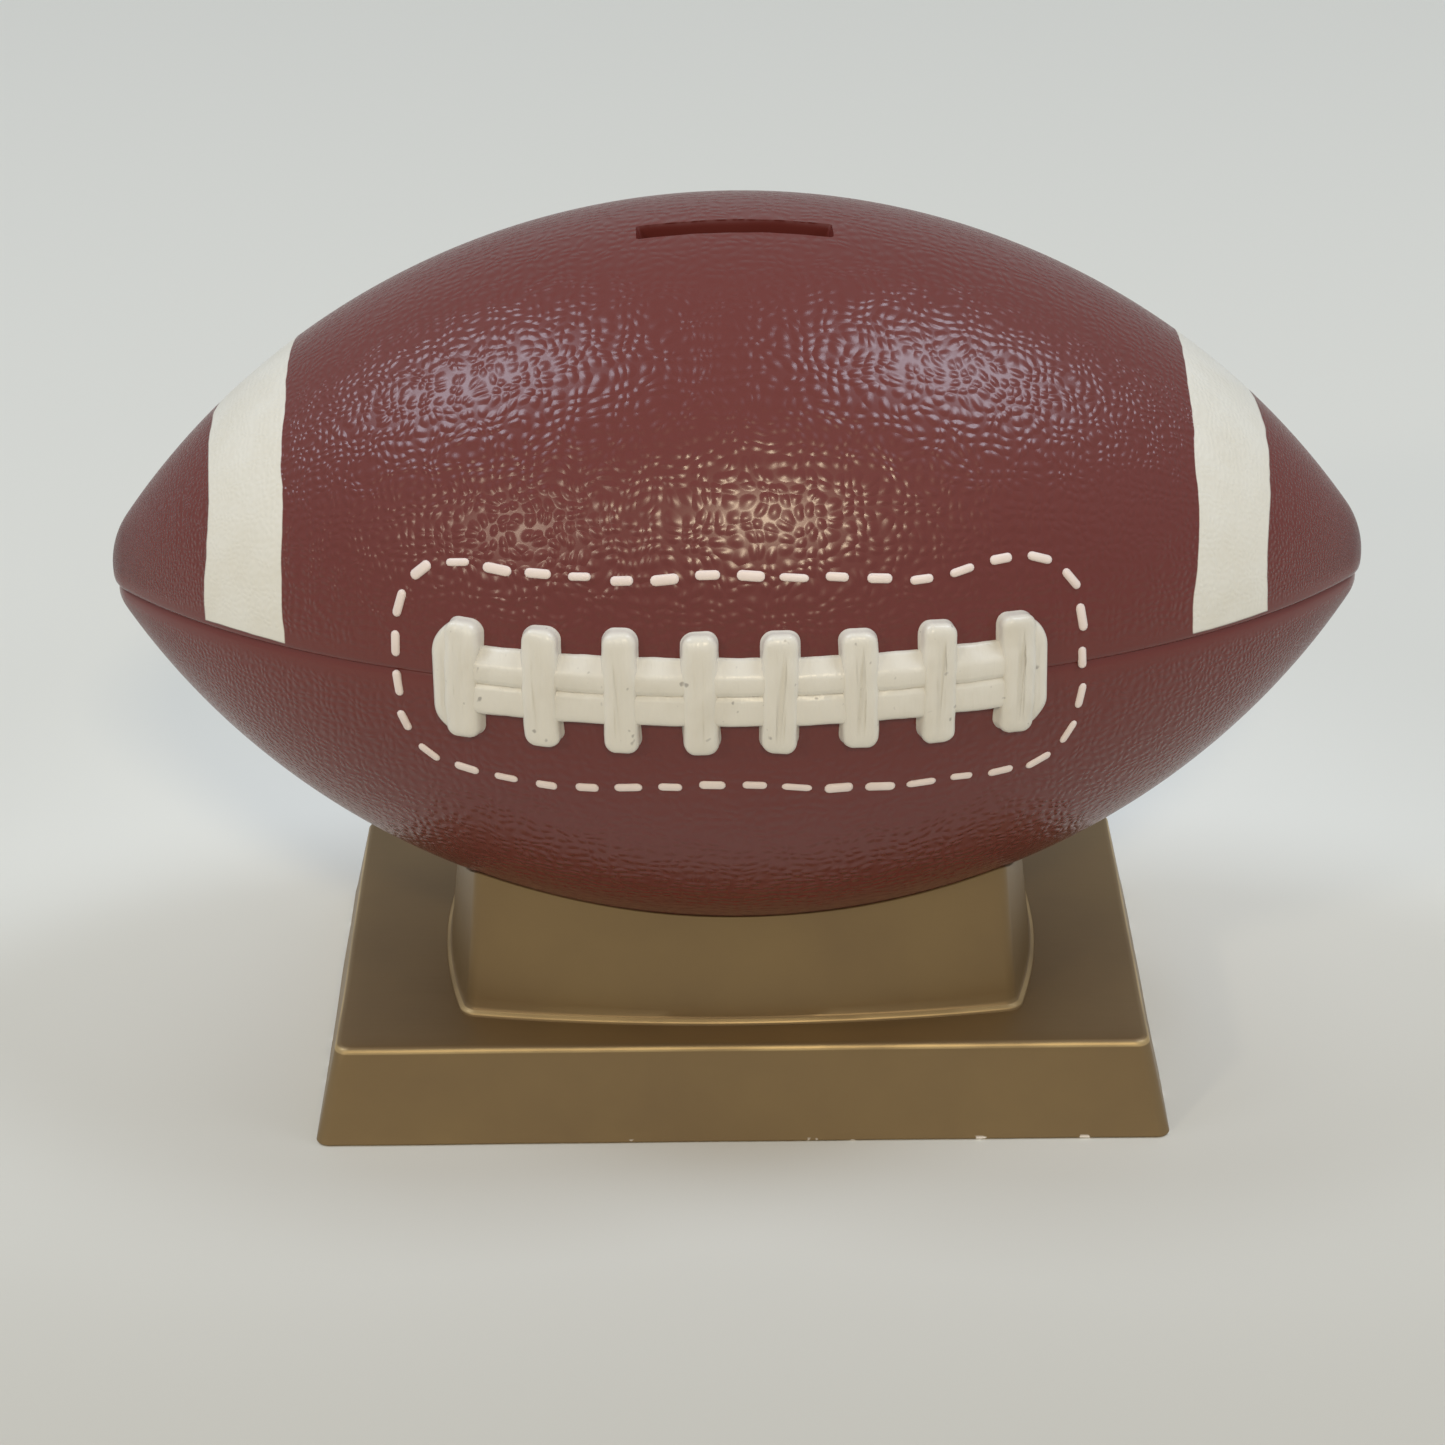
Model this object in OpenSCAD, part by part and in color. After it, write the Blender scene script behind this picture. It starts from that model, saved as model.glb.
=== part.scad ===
// Football coin bank on a pedestal: a hollow two-part ball with raised laces,
// glued into the saddle of a neck that stands on a hollow plinth. Coins fall
// through the slot in the crown and the throat under the ball into the
// pedestal, and come out of the hole in its floor, which a rubber stopper
// closes. X runs along the ball, -Y is the laced front, +Z is up, and the
// origin is in the middle of the foot, on the surface that it stands on.

/* [Ball] */
// Length of the ball, tip to tip
ball_l = 200; // [170:2:240]
// Diameter of the ball at its middle
ball_d = 116; // [104:1:126]
// Radius of the blunt tips
tip_r = 13.5; // [11:0.5:16]
// Thickness of the moulded wall
ball_wall = 4.5; // [3.5:0.5:5.5]
// Height of the ball's lowest point above the plinth
ball_lift = 9; // [7.5:0.5:12]
// Angle by which the ball is rolled back, so that its laces face up a little
ball_roll = 6.5; // [0:0.5:10]
// How far the ball sits behind the middle of the plinth
ball_back = 1.4; // [0:0.1:2]

/* [Seam] */
// How far the parting plane lies below the ball's axis
seam_drop = 2.8; // [1:0.2:5]
// Width of the groove along the seam
seam_groove_w = 0.9; // [0.5:0.1:1.5]
// Depth of the groove along the seam
seam_groove_d = 0.9; // [0.5:0.1:1.2]
// Length of the tongue that locates one shell in the other
tongue_l = 3; // [2:0.5:4]

/* [Coin slot] */
// Length of the slot at the outer surface
slot_l = 31; // [27:0.5:40]
// Width of the slot
slot_w = 4.6; // [4.4:0.1:6]
// Angle at which the hand-cut ends of the slot lean
slot_end_lean = 16; // [0:1:30]
// Distance of the slot in front of the crown
slot_ahead = 5.9; // [0:0.1:12]

/* [Laces] */
// Number of cross laces
bars = 8; // [4:1:8]
// Distance between cross laces
bar_pitch = 11.65; // [10.5:0.05:12.2]
// Width of a cross lace
bar_w = 5.4; // [4.5:0.1:6.5]
// Length of a cross lace, round the ball
bar_l = 19.4; // [17:0.2:23]
// Height of the cross laces above the ball
bar_h = 3.2; // [2.8:0.1:4]
// Width of the flange on the outer side of the two end laces
flange_w = 2.3; // [1.5:0.1:3.5]
// Height of that flange above the ball
flange_h = 2.3; // [1.6:0.1:2.7]
// Width of each of the two long cords
cord_w = 5.3; // [4.5:0.1:6.2]
// Height of the cords above the ball
cord_h = 2.3; // [1.6:0.1:2.6]
// Distance of the laces' middle below the ball's axis, round the ball
lace_drop = 2.8; // [1:0.1:5]

/* [Stitching] */
// Number of stitches round the laces
stitches = 41; // [30:1:44]
// Length of one stitch
stitch_l = 4.2; // [3:0.1:4.8]
// Width of one stitch
stitch_w = 1.1; // [0.8:0.1:1.6]
// Height of the stitches above the ball
stitch_h = 0.4; // [0.3:0.1:0.8]
// Distance from the end laces to the stitched frame
frame_side = 5.425; // [4.7:0.025:9.2]
// Distance from the cross laces' ends to the stitched frame, round the ball
frame_over = 7.1; // [6.8:0.1:9.3]
// Radius of the frame's corners
frame_r = 10; // [7:0.5:14]
// How far the upper and lower rows wander
frame_wave = 0.6; // [0:0.1:1.2]

/* [Neck] */
// Width of the plinth's top on either side of the neck
shelf_side = 16.8; // [13:0.2:22]
// Width of the plinth's top in front of the neck and behind it
shelf_front = 7; // [4.5:0.5:9.5]
// How far the middle of each side bows out
neck_bow = 4; // [2:0.5:6]
// Slope of the sides from upright
neck_slope = 6; // [3:0.5:8]
// Radius of the neck's upright corners
neck_r = 2.5; // [1.5:0.5:5]
// Thickness of the neck's wall
neck_wall = 4.5; // [3.5:0.5:5.5]
// Thickness of the saddle under the ball
saddle_t = 4; // [3:0.5:4.5]
// Width of the bead along the neck's foot
bead = 0.8; // [0.4:0.1:1.2]
// Diameter of the saddle's hole, which the ball's collar fits
throat_d = 44; // [40:1:46]
// Wall of the collar under the ball
collar_wall = 2.8; // [2:0.2:4]

/* [Plinth] */
// Width of the plinth's top
plinth_w = 130; // [118:0.5:142]
// Depth of the plinth's top
plinth_d = 79; // [74:0.5:94]
// Height of the plinth
plinth_h = 16; // [15:0.2:18]
// How far each side flares out at the foot
plinth_flare = 3.3; // [1:0.1:5]
// Radius of the plinth's upright corners
plinth_r = 2; // [1.4:0.2:4]
// Radius of the top edge
edge_r = 1.2; // [0.6:0.2:1.4]
// Thickness of the plinth's walls and top
plinth_wall = 4.5; // [3.5:0.5:5.5]
// Thickness of the floor
floor_t = 3.6; // [3:0.2:4.2]
// Height of the floor above the table
floor_z = 2.6; // [2.4:0.1:3]
// Width of the foot rim round the recessed floor
rim_w = 8; // [6:0.5:12]
// Length of the neck's spigot inside the plinth
spigot_l = 3; // [2:0.5:3.5]

/* [Stopper] */
// Diameter of the coin outlet in the floor
outlet_d = 33; // [31:0.5:38]
// Radial clearance of the stopper in the outlet
stopper_gap = 0.05; // [0.02:0.01:0.1]
// Width of the stopper's flange round the outlet
stopper_flange_w = 3; // [2:0.5:5]
// Thickness of the flange
stopper_flange_t = 1.5; // [1.2:0.1:1.8]
// Length of the stopper's plug above the flange
stopper_l = 5.4; // [4.6:0.2:6]
// Depth of the dished underside
stopper_dish = 0.6; // [0.3:0.1:0.9]

/* [Fits] */
// Clearance of a glued spigot, tongue or collar
glue_gap = 0.15; // [0.05:0.05:0.25]

/* [Hidden] */
BARS = [for (i = [1:bars]) str("lace_bar_", i)];

$fn = 96;
fine = 240;             // segments of the long bowed arcs
eps = 0.01;
far = 2 * ball_l;       // longer than anything that it cuts

maroon = "#7a3330";
ivory = "#e6e0d2";
bronze = "#7d6544";
black = "#2a2826";

ball_z = plinth_h + ball_lift + ball_d / 2;         // height of the ball's axis

// The ball's outline: a long arc over the side, tangent to a round tip.
tip_x = ball_l / 2 - tip_r;
side_r = (pow(tip_x, 2) + pow(ball_d / 2, 2) - pow(tip_r, 2)) / (ball_d - 2 * tip_r);
side_c = side_r - ball_d / 2;                       // depth of the side arc's centre
lace_tilt = lace_drop / (ball_d / 2) * 180 / PI;    // how far the laces dip
bury = 2;                                           // root that the ball cuts away
lace_span = (bars - 1) * bar_pitch;
frame_w = lace_span + bar_w + 2 * flange_w + 2 * frame_side;
frame_h = bar_l + 2 * frame_over;
cord_edge = 1.1;                                    // rounding of the lace's edges
cord_half = asin(lace_span / 2 / side_r);           // half the arc that a cord spans

bar_arc = 1.3 * bar_l / (ball_d / 2) * 180 / PI;    // trimmed by its outline

neck_w = plinth_w - 2 * shelf_side;                 // at the foot, across the bows
neck_d = plinth_d - 2 * shelf_front;
neck_h = ball_z - plinth_h;                         // trimmed by the ball
floor_top = floor_z + floor_t;

// ---- Ball -------------------------------------------------------------------

// Half outline of the ball, grown by g: radius along x, the ball's axis along y.
module ball_profile(g) {
    shoulder = (side_r + g) * tip_x / (side_r - tip_r);
    intersection() {
        union() {
            intersection() {
                translate([-side_c, 0]) circle(side_r + g, $fn = fine);
                translate([-ball_l, -shoulder]) square([2 * ball_l, 2 * shoulder]);
            }
            for (s = [-1, 1]) translate([0, s * tip_x]) circle(tip_r + g);
        }
        translate([0, -ball_l]) square([ball_l, 2 * ball_l]);
    }
}

// The solid ball, grown by g.
module ball_solid(g)
    translate([0, ball_back, ball_z]) rotate([0, 90, 0]) rotate_extrude() ball_profile(g);

// Sets what was drawn for a level ball at the origin's height onto the rolled ball.
module rolled()
    translate([0, ball_back, ball_z]) rotate([-ball_roll, 0, 0]) children();

// The ball seen from above, grown by g: the line that the seam follows.
module ball_plan(g)
    for (m = [0, 1]) mirror([0, m, 0]) rotate(-90) ball_profile(g);

// Everything above (side = 1) or below (side = -1) the parting plane.
module half_space(side) rolled()
    translate([-far, -far, (side > 0 ? 0 : -far) - seam_drop]) cube([2 * far, 2 * far, far]);

// Locating ring inside the seam, from the inner face of the wall out by t.
module seam_ring(t, h) rolled()
    translate([0, 0, -seam_drop - h]) linear_extrude(h) difference() {
        ball_plan(t - ball_wall);
        ball_plan(-ball_wall);
    }

// Coin slot, cut straight down, wider outside where its hand-cut ends lean.
module coin_slot() {
    over = 6;                                       // length of the cut past the crown
    under = 2 * ball_wall;
    function half(z) = slot_l / 2 + z * tan(slot_end_lean);
    translate([0, ball_back + slot_w / 2 - slot_ahead, ball_z + ball_d / 2]) rotate([90, 0, 0])
        linear_extrude(slot_w)
            polygon([[-half(-under), -under], [-half(over), over],
                     [half(over), over], [half(-under), -under]]);
}

module ball_upper_shell() color(maroon) {
    difference() {
        intersection() { ball_solid(0); half_space(1); }
        ball_solid(-ball_wall);
        coin_slot();
        rolled() translate([0, 0, -seam_drop - eps]) linear_extrude(seam_groove_w + eps)
            difference() {
                square(far, center = true);
                ball_plan(-seam_groove_d);
            }
    }
    seam_ring(ball_wall / 2 - glue_gap, tongue_l);
}

module ball_lower_shell() color(maroon) {
    collar_d = throat_d - 2 * glue_gap;
    difference() {
        union() {
            difference() {
                intersection() { ball_solid(0); half_space(-1); }
                ball_solid(-ball_wall);
                rolled() translate([0, 0, -seam_drop - tongue_l - glue_gap])
                    linear_extrude(tongue_l + glue_gap + eps) ball_plan(-ball_wall / 2);
            }
            difference() {
                translate([0, 0, plinth_h + 1]) cylinder(d = collar_d, h = ball_d / 4);
                ball_solid(-ball_wall / 2);
            }
        }
        translate([0, 0, -eps]) cylinder(d = collar_d - 2 * collar_wall, h = ball_z);
    }
}

// ---- Laces ------------------------------------------------------------------

// Turns a shape made for the front of the ball's axis down to the lace line.
module at_laces() rolled() rotate([lace_tilt, 0, 0]) children();

// Section of a lace, w wide and h above the surface, with rounded outer edges.
module lace_section(w, h, r) {
    translate([-bury, -w / 2]) square([bury + h - r, w]);
    translate([-bury, r - w / 2]) square([bury + h, w - 2 * r]);
    for (s = [-1, 1]) translate([h - r, s * (w / 2 - r)]) circle(r, $fn = 32);
}

// A long cord, above (side = 1) or below (side = -1) the lace line.
module cord(side)
    at_laces() translate([0, side_c, 0]) rotate([0, 0, -90 - cord_half])
        rotate_extrude(angle = 2 * cord_half, $fn = fine)
            translate([side_r, side * cord_w / 2]) lace_section(cord_w, cord_h, cord_edge);

// A band round the front of the ball at x, w wide and h high.
module band(x, w, h)
    at_laces() rotate([0, 90, 0]) rotate([0, 0, -90 - bar_arc / 2])
        rotate_extrude(angle = bar_arc)
            translate([-side_c, 0]) rotate(asin(x / side_r))
                translate([side_r, 0]) lace_section(w, h, cord_edge);

// Prism through the front of the ball over an outline drawn in x and z.
module front_prism()
    at_laces() rotate([90, 0, 0]) linear_extrude(ball_d) children();

// Long outline with round ends.
module stadium(w, l) {
    square([w, l - w], center = true);
    for (s = [-1, 1]) translate([0, s * (l - w) / 2]) circle(w / 2, $fn = 48);
}

// Cross lace i, counted from the left. The first and the last have a flange.
module lace_bar(i) color(ivory) {
    x = (i - 1) * bar_pitch - lace_span / 2;
    outer = i == 1 ? -1 : i == bars ? 1 : 0;
    flange_x = x + outer * (bar_w + flange_w) / 2;
    difference() {
        union() {
            intersection() {
                band(x, bar_w, bar_h);
                front_prism() translate([x, 0]) stadium(bar_w, bar_l);
            }
            if (outer != 0) intersection() {
                band(flange_x - outer * flange_w / 2, 2 * flange_w, flange_h);
                front_prism() intersection() {
                    translate([flange_x + outer * (flange_w / 2 - bar_l / 2), 0]) circle(d = bar_l);
                    translate([flange_x - bar_w, -bar_l]) square([2 * bar_w, 2 * bar_l]);
                }
            }
        }
        ball_solid(0);
        for (s = [-1, 1]) cord(s);
    }
}

module lace_cord(side) color(ivory) difference() { cord(side); ball_solid(0); }

// ---- Stitching --------------------------------------------------------------

// Place and direction of the point at distance s round the stitched frame,
// which starts in the middle of the top row and runs to the right.
function frame_point(s) =
    let (a = frame_w / 2 - frame_r, b = frame_h / 2 - frame_r, q = frame_r * PI / 2,
         half = 2 * a + 2 * b + 2 * q)
    s > half ? let (p = frame_point(s - half)) [-p[0], -p[1], p[2] + 180] :
    s < a ? [s, b + frame_r, 0] :
    s < a + q ? let (t = (s - a) / frame_r * 180 / PI)
        [a + frame_r * sin(t), b + frame_r * cos(t), -t] :
    s < a + q + 2 * b ? [a + frame_r, b - (s - a - q), -90] :
    s < a + 2 * q + 2 * b ? let (t = (s - a - q - 2 * b) / frame_r * 180 / PI)
        [a + frame_r * cos(t), -b - frame_r * sin(t), -90 - t] :
    [a - (s - a - 2 * q - 2 * b), -b - frame_r, 180];

frame_len = 4 * (frame_w + frame_h) / 2 - 8 * frame_r + 2 * PI * frame_r;

module lace_stitching() color(ivory) intersection() {
    difference() { ball_solid(stitch_h); ball_solid(0); }
    front_prism() for (i = [0:stitches - 1]) {
        p = frame_point((i + 0.5) * frame_len / stitches);
        translate([p[0], p[1] + frame_wave * cos(p[0] * 7)]) rotate(p[2] + 90)
            stadium(stitch_w, stitch_l);
    }
}

// ---- Neck -------------------------------------------------------------------

// Plan of the neck, grown by g: four bowed sides and round corners.
module neck_plan(g) {
    function bow_r(half) = (half * half + neck_bow * neck_bow) / (2 * neck_bow);
    rx = bow_r(neck_d / 2 - neck_bow);
    ry = bow_r(neck_w / 2 - neck_bow);
    offset(r = neck_r + g) offset(delta = -neck_r) intersection_for(s = [-1, 1]) {
        intersection() {
            translate([s * (neck_w / 2 - rx), 0]) circle(rx, $fn = 144);
            translate([0, s * (neck_d / 2 - ry)]) circle(ry, $fn = 144);
        }
    }
}

// The neck's outside, grown by g, h high from its foot up.
module neck_form(g, h)
    translate([0, 0, plinth_h]) hull() {
        linear_extrude(eps) neck_plan(g);
        translate([0, 0, h]) linear_extrude(eps) neck_plan(g - h * tan(neck_slope));
    }

module neck() color(bronze) {
    difference() {
        union() {
            neck_form(0, neck_h);
            translate([0, 0, plinth_h]) hull() {
                linear_extrude(eps) neck_plan(bead);
                linear_extrude(bead) neck_plan(0);
            }
        }
        difference() {
            translate([0, 0, -eps]) neck_form(-neck_wall, neck_h);
            ball_solid(saddle_t);
        }
        ball_solid(0);
        cylinder(d = throat_d, h = ball_z);
    }
    translate([0, 0, plinth_h - spigot_l]) linear_extrude(spigot_l) difference() {
        neck_plan(-neck_wall / 2 - glue_gap);
        neck_plan(-neck_wall);
    }
}

// ---- Plinth -----------------------------------------------------------------

// Places its children in the four corners of a w by d rectangle.
module corners(w, d)
    for (x = [-1, 1], y = [-1, 1]) translate([x * w / 2, y * d / 2, 0]) children();

// Rectangle with round corners.
module rounded_rect(w, d, r) {
    square([w - 2 * r, d], center = true);
    square([w, d - 2 * r], center = true);
    corners(w - 2 * r, d - 2 * r) circle(r);
}

// The plinth's outside: flared sides, round corners and a softened top edge.
module plinth_form() hull() {
    corners(plinth_w + 2 * (plinth_flare - plinth_r), plinth_d + 2 * (plinth_flare - plinth_r))
        cylinder(r = plinth_r, h = eps, $fn = 32);
    translate([0, 0, plinth_h - edge_r]) corners(plinth_w - 2 * plinth_r, plinth_d - 2 * plinth_r)
        rotate_extrude($fn = 32) translate([plinth_r - edge_r, 0]) intersection() {
            circle(edge_r, $fn = 24);
            translate([edge_r - plinth_r, 0]) square(2 * plinth_r);
        }
}

module plinth() color(bronze) difference() {
    plinth_form();
    translate([0, 0, floor_top]) linear_extrude(plinth_h - plinth_wall - floor_top)
        rounded_rect(plinth_w - 2 * plinth_wall, plinth_d - 2 * plinth_wall, plinth_r);
    translate([0, 0, floor_top]) linear_extrude(plinth_h) neck_plan(-neck_wall / 2);
    translate([0, 0, -eps]) linear_extrude(floor_z + eps)
        rounded_rect(plinth_w - 2 * rim_w, plinth_d - 2 * rim_w, 2 * plinth_r);
    cylinder(d = outlet_d, h = plinth_h);
}

// ---- Stopper ----------------------------------------------------------------

// Rubber plug, closed flush in the recess of the floor.
module stopper() color(black) {
    plug_r = outlet_d / 2 - stopper_gap;
    flange_r = outlet_d / 2 + stopper_flange_w;
    lead = 0.8;                                     // chamfer that finds the hole
    dish_r = plug_r - 1;
    dish_sphere = (dish_r * dish_r + stopper_dish * stopper_dish) / (2 * stopper_dish);
    difference() {
        translate([0, 0, floor_z]) rotate_extrude() polygon([
            [0, -stopper_flange_t], [flange_r - lead / 2, -stopper_flange_t],
            [flange_r, lead / 2 - stopper_flange_t], [flange_r, 0],
            [plug_r, 0], [plug_r, stopper_l - lead], [plug_r - lead, stopper_l], [0, stopper_l]]);
        translate([0, 0, floor_z - stopper_flange_t + stopper_dish - dish_sphere])
            sphere(dish_sphere);
    }
}

// ---- Nodes ------------------------------------------------------------------

ball_upper_shell();
ball_lower_shell();
lace_cord(1);  // lace_cord_upper
lace_cord(-1);  // lace_cord_lower
for (i = [1:bars]) lace_bar(i);
lace_stitching();
neck();
plinth();
stopper();
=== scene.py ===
"""The finish of a football coin bank on its pedestal.

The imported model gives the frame. This script gives every piece its final surface: the two
cast shells with their seam, slot and leather grain, the hand-painted laces and stitches,
the bronze pedestal and the rubber stopper. Lengths are in millimetres until a mesh is
written, which is in metres.
"""

import logging
import math
from dataclasses import dataclass, field, replace
from enum import Enum
from typing import Any, Sequence

import bmesh
import bpy
import numpy as np
from mathutils import Matrix, Vector


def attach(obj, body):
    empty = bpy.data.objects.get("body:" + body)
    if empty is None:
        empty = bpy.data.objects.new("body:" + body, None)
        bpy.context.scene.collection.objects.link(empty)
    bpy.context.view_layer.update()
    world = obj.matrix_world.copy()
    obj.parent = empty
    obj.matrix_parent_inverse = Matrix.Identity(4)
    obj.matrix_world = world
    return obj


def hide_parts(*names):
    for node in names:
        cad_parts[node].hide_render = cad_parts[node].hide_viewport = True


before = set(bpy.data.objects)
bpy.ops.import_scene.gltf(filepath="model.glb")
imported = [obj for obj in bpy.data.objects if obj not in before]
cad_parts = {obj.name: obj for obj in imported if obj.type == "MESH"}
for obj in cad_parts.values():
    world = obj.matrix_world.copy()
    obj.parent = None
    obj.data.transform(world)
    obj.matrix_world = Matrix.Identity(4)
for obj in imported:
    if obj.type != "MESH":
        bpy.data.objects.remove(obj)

LOG = logging.getLogger("coin_bank")
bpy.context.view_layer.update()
BODY = "bank"
# A millimetre in metres, and a metre in millimetres.
MM, METRE = 0.001, 1000.0

Node, Socket = bpy.types.Node, bpy.types.NodeSocket
Object, Material = bpy.types.Object, bpy.types.Material
Ring = np.ndarray
Spot = tuple[float, float, float]
Profile = tuple[tuple[float, float], ...]

# Kinds and settings of nodes that come back often.
MATH, NOISE = "ShaderNodeMath", "ShaderNodeTexNoise"
MIX, RANGE = "ShaderNodeMix", "ShaderNodeMapRange"
ADD, SUBTRACT, MULTIPLY, MULTIPLY_ADD, ABSOLUTE = (
    {"operation": how} for how in ("ADD", "SUBTRACT", "MULTIPLY", "MULTIPLY_ADD", "ABSOLUTE"))
COLOURS, VECTORS = {"data_type": "RGBA"}, {"data_type": "FLOAT_VECTOR"}
SOFT = {"interpolation_type": "SMOOTHSTEP"}


class Side(Enum):
    """The side of the seam or of the lace line on which a piece lies."""

    UPPER = 1
    LOWER = -1


# ---- Helpers ----------------------------------------------------------------


def linear(code: str) -> tuple[float, float, float, float]:
    """Turns an sRGB hex colour into linear RGBA.

    Args:
        code: The colour, such as "#7a3330".

    Returns:
        Linear red, green, blue and an alpha of 1.
    """
    parts = [int(code[i:i + 2], 16) / 255 for i in (1, 3, 5)]
    r, g, b = (c / 12.92 if c <= 0.04045 else ((c + 0.055) / 1.055) ** 2.4 for c in parts)
    return r, g, b, 1.0


class Graph:
    """A node tree under construction."""

    def __init__(self, tree: bpy.types.NodeTree) -> None:
        """Takes a tree and empties it."""
        self.tree = tree
        self.tree.nodes.clear()

    def add(self, kind: str, settings: dict[str, Any] | None = None, **inputs: Any) -> Node:
        """Adds one node with its settings, and fills or links its inputs.

        Args:
            kind: The node's type name.
            settings: Properties of the node itself, by name.
            **inputs: Values, output sockets or nodes, which give their first active output,
                by input name, with "_" for a space, or by place, such as i0 for the first.

        Returns:
            The new node.
        """
        node = self.tree.nodes.new(kind)
        for name, value in (settings or {}).items():
            setattr(node, name, value)
        for name, value in inputs.items():
            if name[0] == "i" and name[1:].isdigit():
                socket = node.inputs[int(name[1:])]
            else:
                wanted = name.replace("_", " ").lower()
                socket = next(s for s in node.inputs if s.enabled and s.name.lower() == wanted)
            if isinstance(value, Node):
                value = next(s for s in value.outputs if s.enabled)
            if isinstance(value, Socket):
                self.tree.links.new(value, socket)
            else:
                socket.default_value = value
        return node


def in_scene(name: str, data: bpy.types.ID) -> Object:
    """Adds an object with its data to the scene.

    Args:
        name: The object's name.
        data: Its mesh, lamp or camera.

    Returns:
        The object.
    """
    obj = bpy.data.objects.new(name, data)
    bpy.context.scene.collection.objects.link(obj)
    return obj


def new_object(name: str, points: np.ndarray, faces: Sequence[Sequence[int]],
               sharp_above: float = 40.0) -> Object:
    """Makes a closed mesh object from points in millimetres.

    Args:
        name: The object's name.
        points: One row of x, y, z for each vertex, in millimetres.
        faces: Vertex numbers of each face.
        sharp_above: Edges with a larger angle, in degrees, stay sharp.

    Returns:
        The object, with merged doubles and faces pointing outwards.
    """
    mesh = bpy.data.meshes.new(name)
    mesh.from_pydata((points * MM).tolist(), [], [list(f) for f in faces])
    work = bmesh.new()
    work.from_mesh(mesh)
    bmesh.ops.remove_doubles(work, verts=work.verts, dist=2e-6)
    bmesh.ops.dissolve_degenerate(work, edges=work.edges, dist=1e-7)
    bmesh.ops.recalc_face_normals(work, faces=work.faces)
    work.to_mesh(mesh)
    work.free()
    mesh.shade_smooth()
    mesh.set_sharp_from_angle(angle=math.radians(sharp_above))
    return in_scene(name, mesh)


def points_of(mesh: bpy.types.Mesh) -> np.ndarray:
    """Reads a mesh's points.

    Args:
        mesh: The mesh, in metres.

    Returns:
        One row of x, y, z for each vertex, in millimetres.
    """
    co = np.zeros(len(mesh.vertices) * 3)
    mesh.vertices.foreach_get("co", co)
    return co.reshape(-1, 3) / MM


def loft(rings: Sequence[Ring], closed_on_itself: bool = False, caps: bool = False,
         skip_slit: bool = False) -> tuple[np.ndarray, list[tuple[int, ...]]]:
    """Joins rings of equally many points with quads.

    Args:
        rings: The rings, in order, each an array of points.
        closed_on_itself: Joins the last ring to the first one.
        caps: Closes the first and the last ring with one face each.
        skip_slit: Leaves out quads that lie in the XZ plane, where two lips have met.

    Returns:
        The points and the faces.
    """
    count = len(rings[0])
    pairs = list(zip(range(len(rings) - 1), range(1, len(rings))))
    if closed_on_itself:
        pairs.append((len(rings) - 1, 0))
    faces: list[tuple[int, ...]] = []
    for a, b in pairs:
        for k in range(count):
            n = (k + 1) % count
            corners = (rings[a][k], rings[a][n], rings[b][n], rings[b][k])
            if skip_slit and all(abs(c[1]) < 1e-6 for c in corners):
                continue
            faces.append((a * count + k, a * count + n, b * count + n, b * count + k))
    if caps:
        faces.append(tuple(range(count)))
        faces.append(tuple((len(rings) - 1) * count + k for k in range(count)))
    return np.concatenate(rings), faces


def baked(obj: Object) -> Object:
    """Turns an object with modifiers into the same object with a plain mesh.

    Args:
        obj: The object.

    Returns:
        The same object.
    """
    bpy.context.view_layer.update()
    graph = bpy.context.evaluated_depsgraph_get()
    mesh = bpy.data.meshes.new_from_object(obj.evaluated_get(graph), depsgraph=graph)
    obj.modifiers.clear()
    obj.data = mesh
    mesh.name = obj.name
    return obj


def remove(*objects: Object) -> None:
    """Deletes helper objects that have done their work."""
    for obj in objects:
        bpy.data.objects.remove(obj, do_unlink=True)


# ---- Finishes ---------------------------------------------------------------


class Coat(Graph):
    """A material under construction, with its Object coordinates."""

    def __init__(self, name: str) -> None:
        """Makes an empty material.

        Args:
            name: Name of the material.
        """
        self.material = bpy.data.materials.new(name)
        self.material.use_nodes = True
        super().__init__(self.material.node_tree)
        self.place = self.add("ShaderNodeTexCoord").outputs["Object"]

    def finish(self, colour: Node, roughness: Any, relief: Any = None, depth: float = 0.0,
               **more: Any) -> Material:
        """Joins the colour and the relief to the surface.

        Args:
            colour: Colour of the surface.
            roughness: Roughness of the surface, a number or a node.
            relief: Height field of the surface, from 0 to 1, or None if it is flat.
            depth: Height of the relief, in millimetres.
            **more: Other inputs of the surface, by name.

        Returns:
            The material.
        """
        if relief is not None:
            more["Normal"] = self.add("ShaderNodeBump", Height=relief, Strength=1.0,
                                      Distance=depth * MM)
        surface = self.add("ShaderNodeBsdfPrincipled", Base_Color=colour,
                           Roughness=roughness, **more)
        self.add("ShaderNodeOutputMaterial", Surface=surface)
        return self.material


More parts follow.
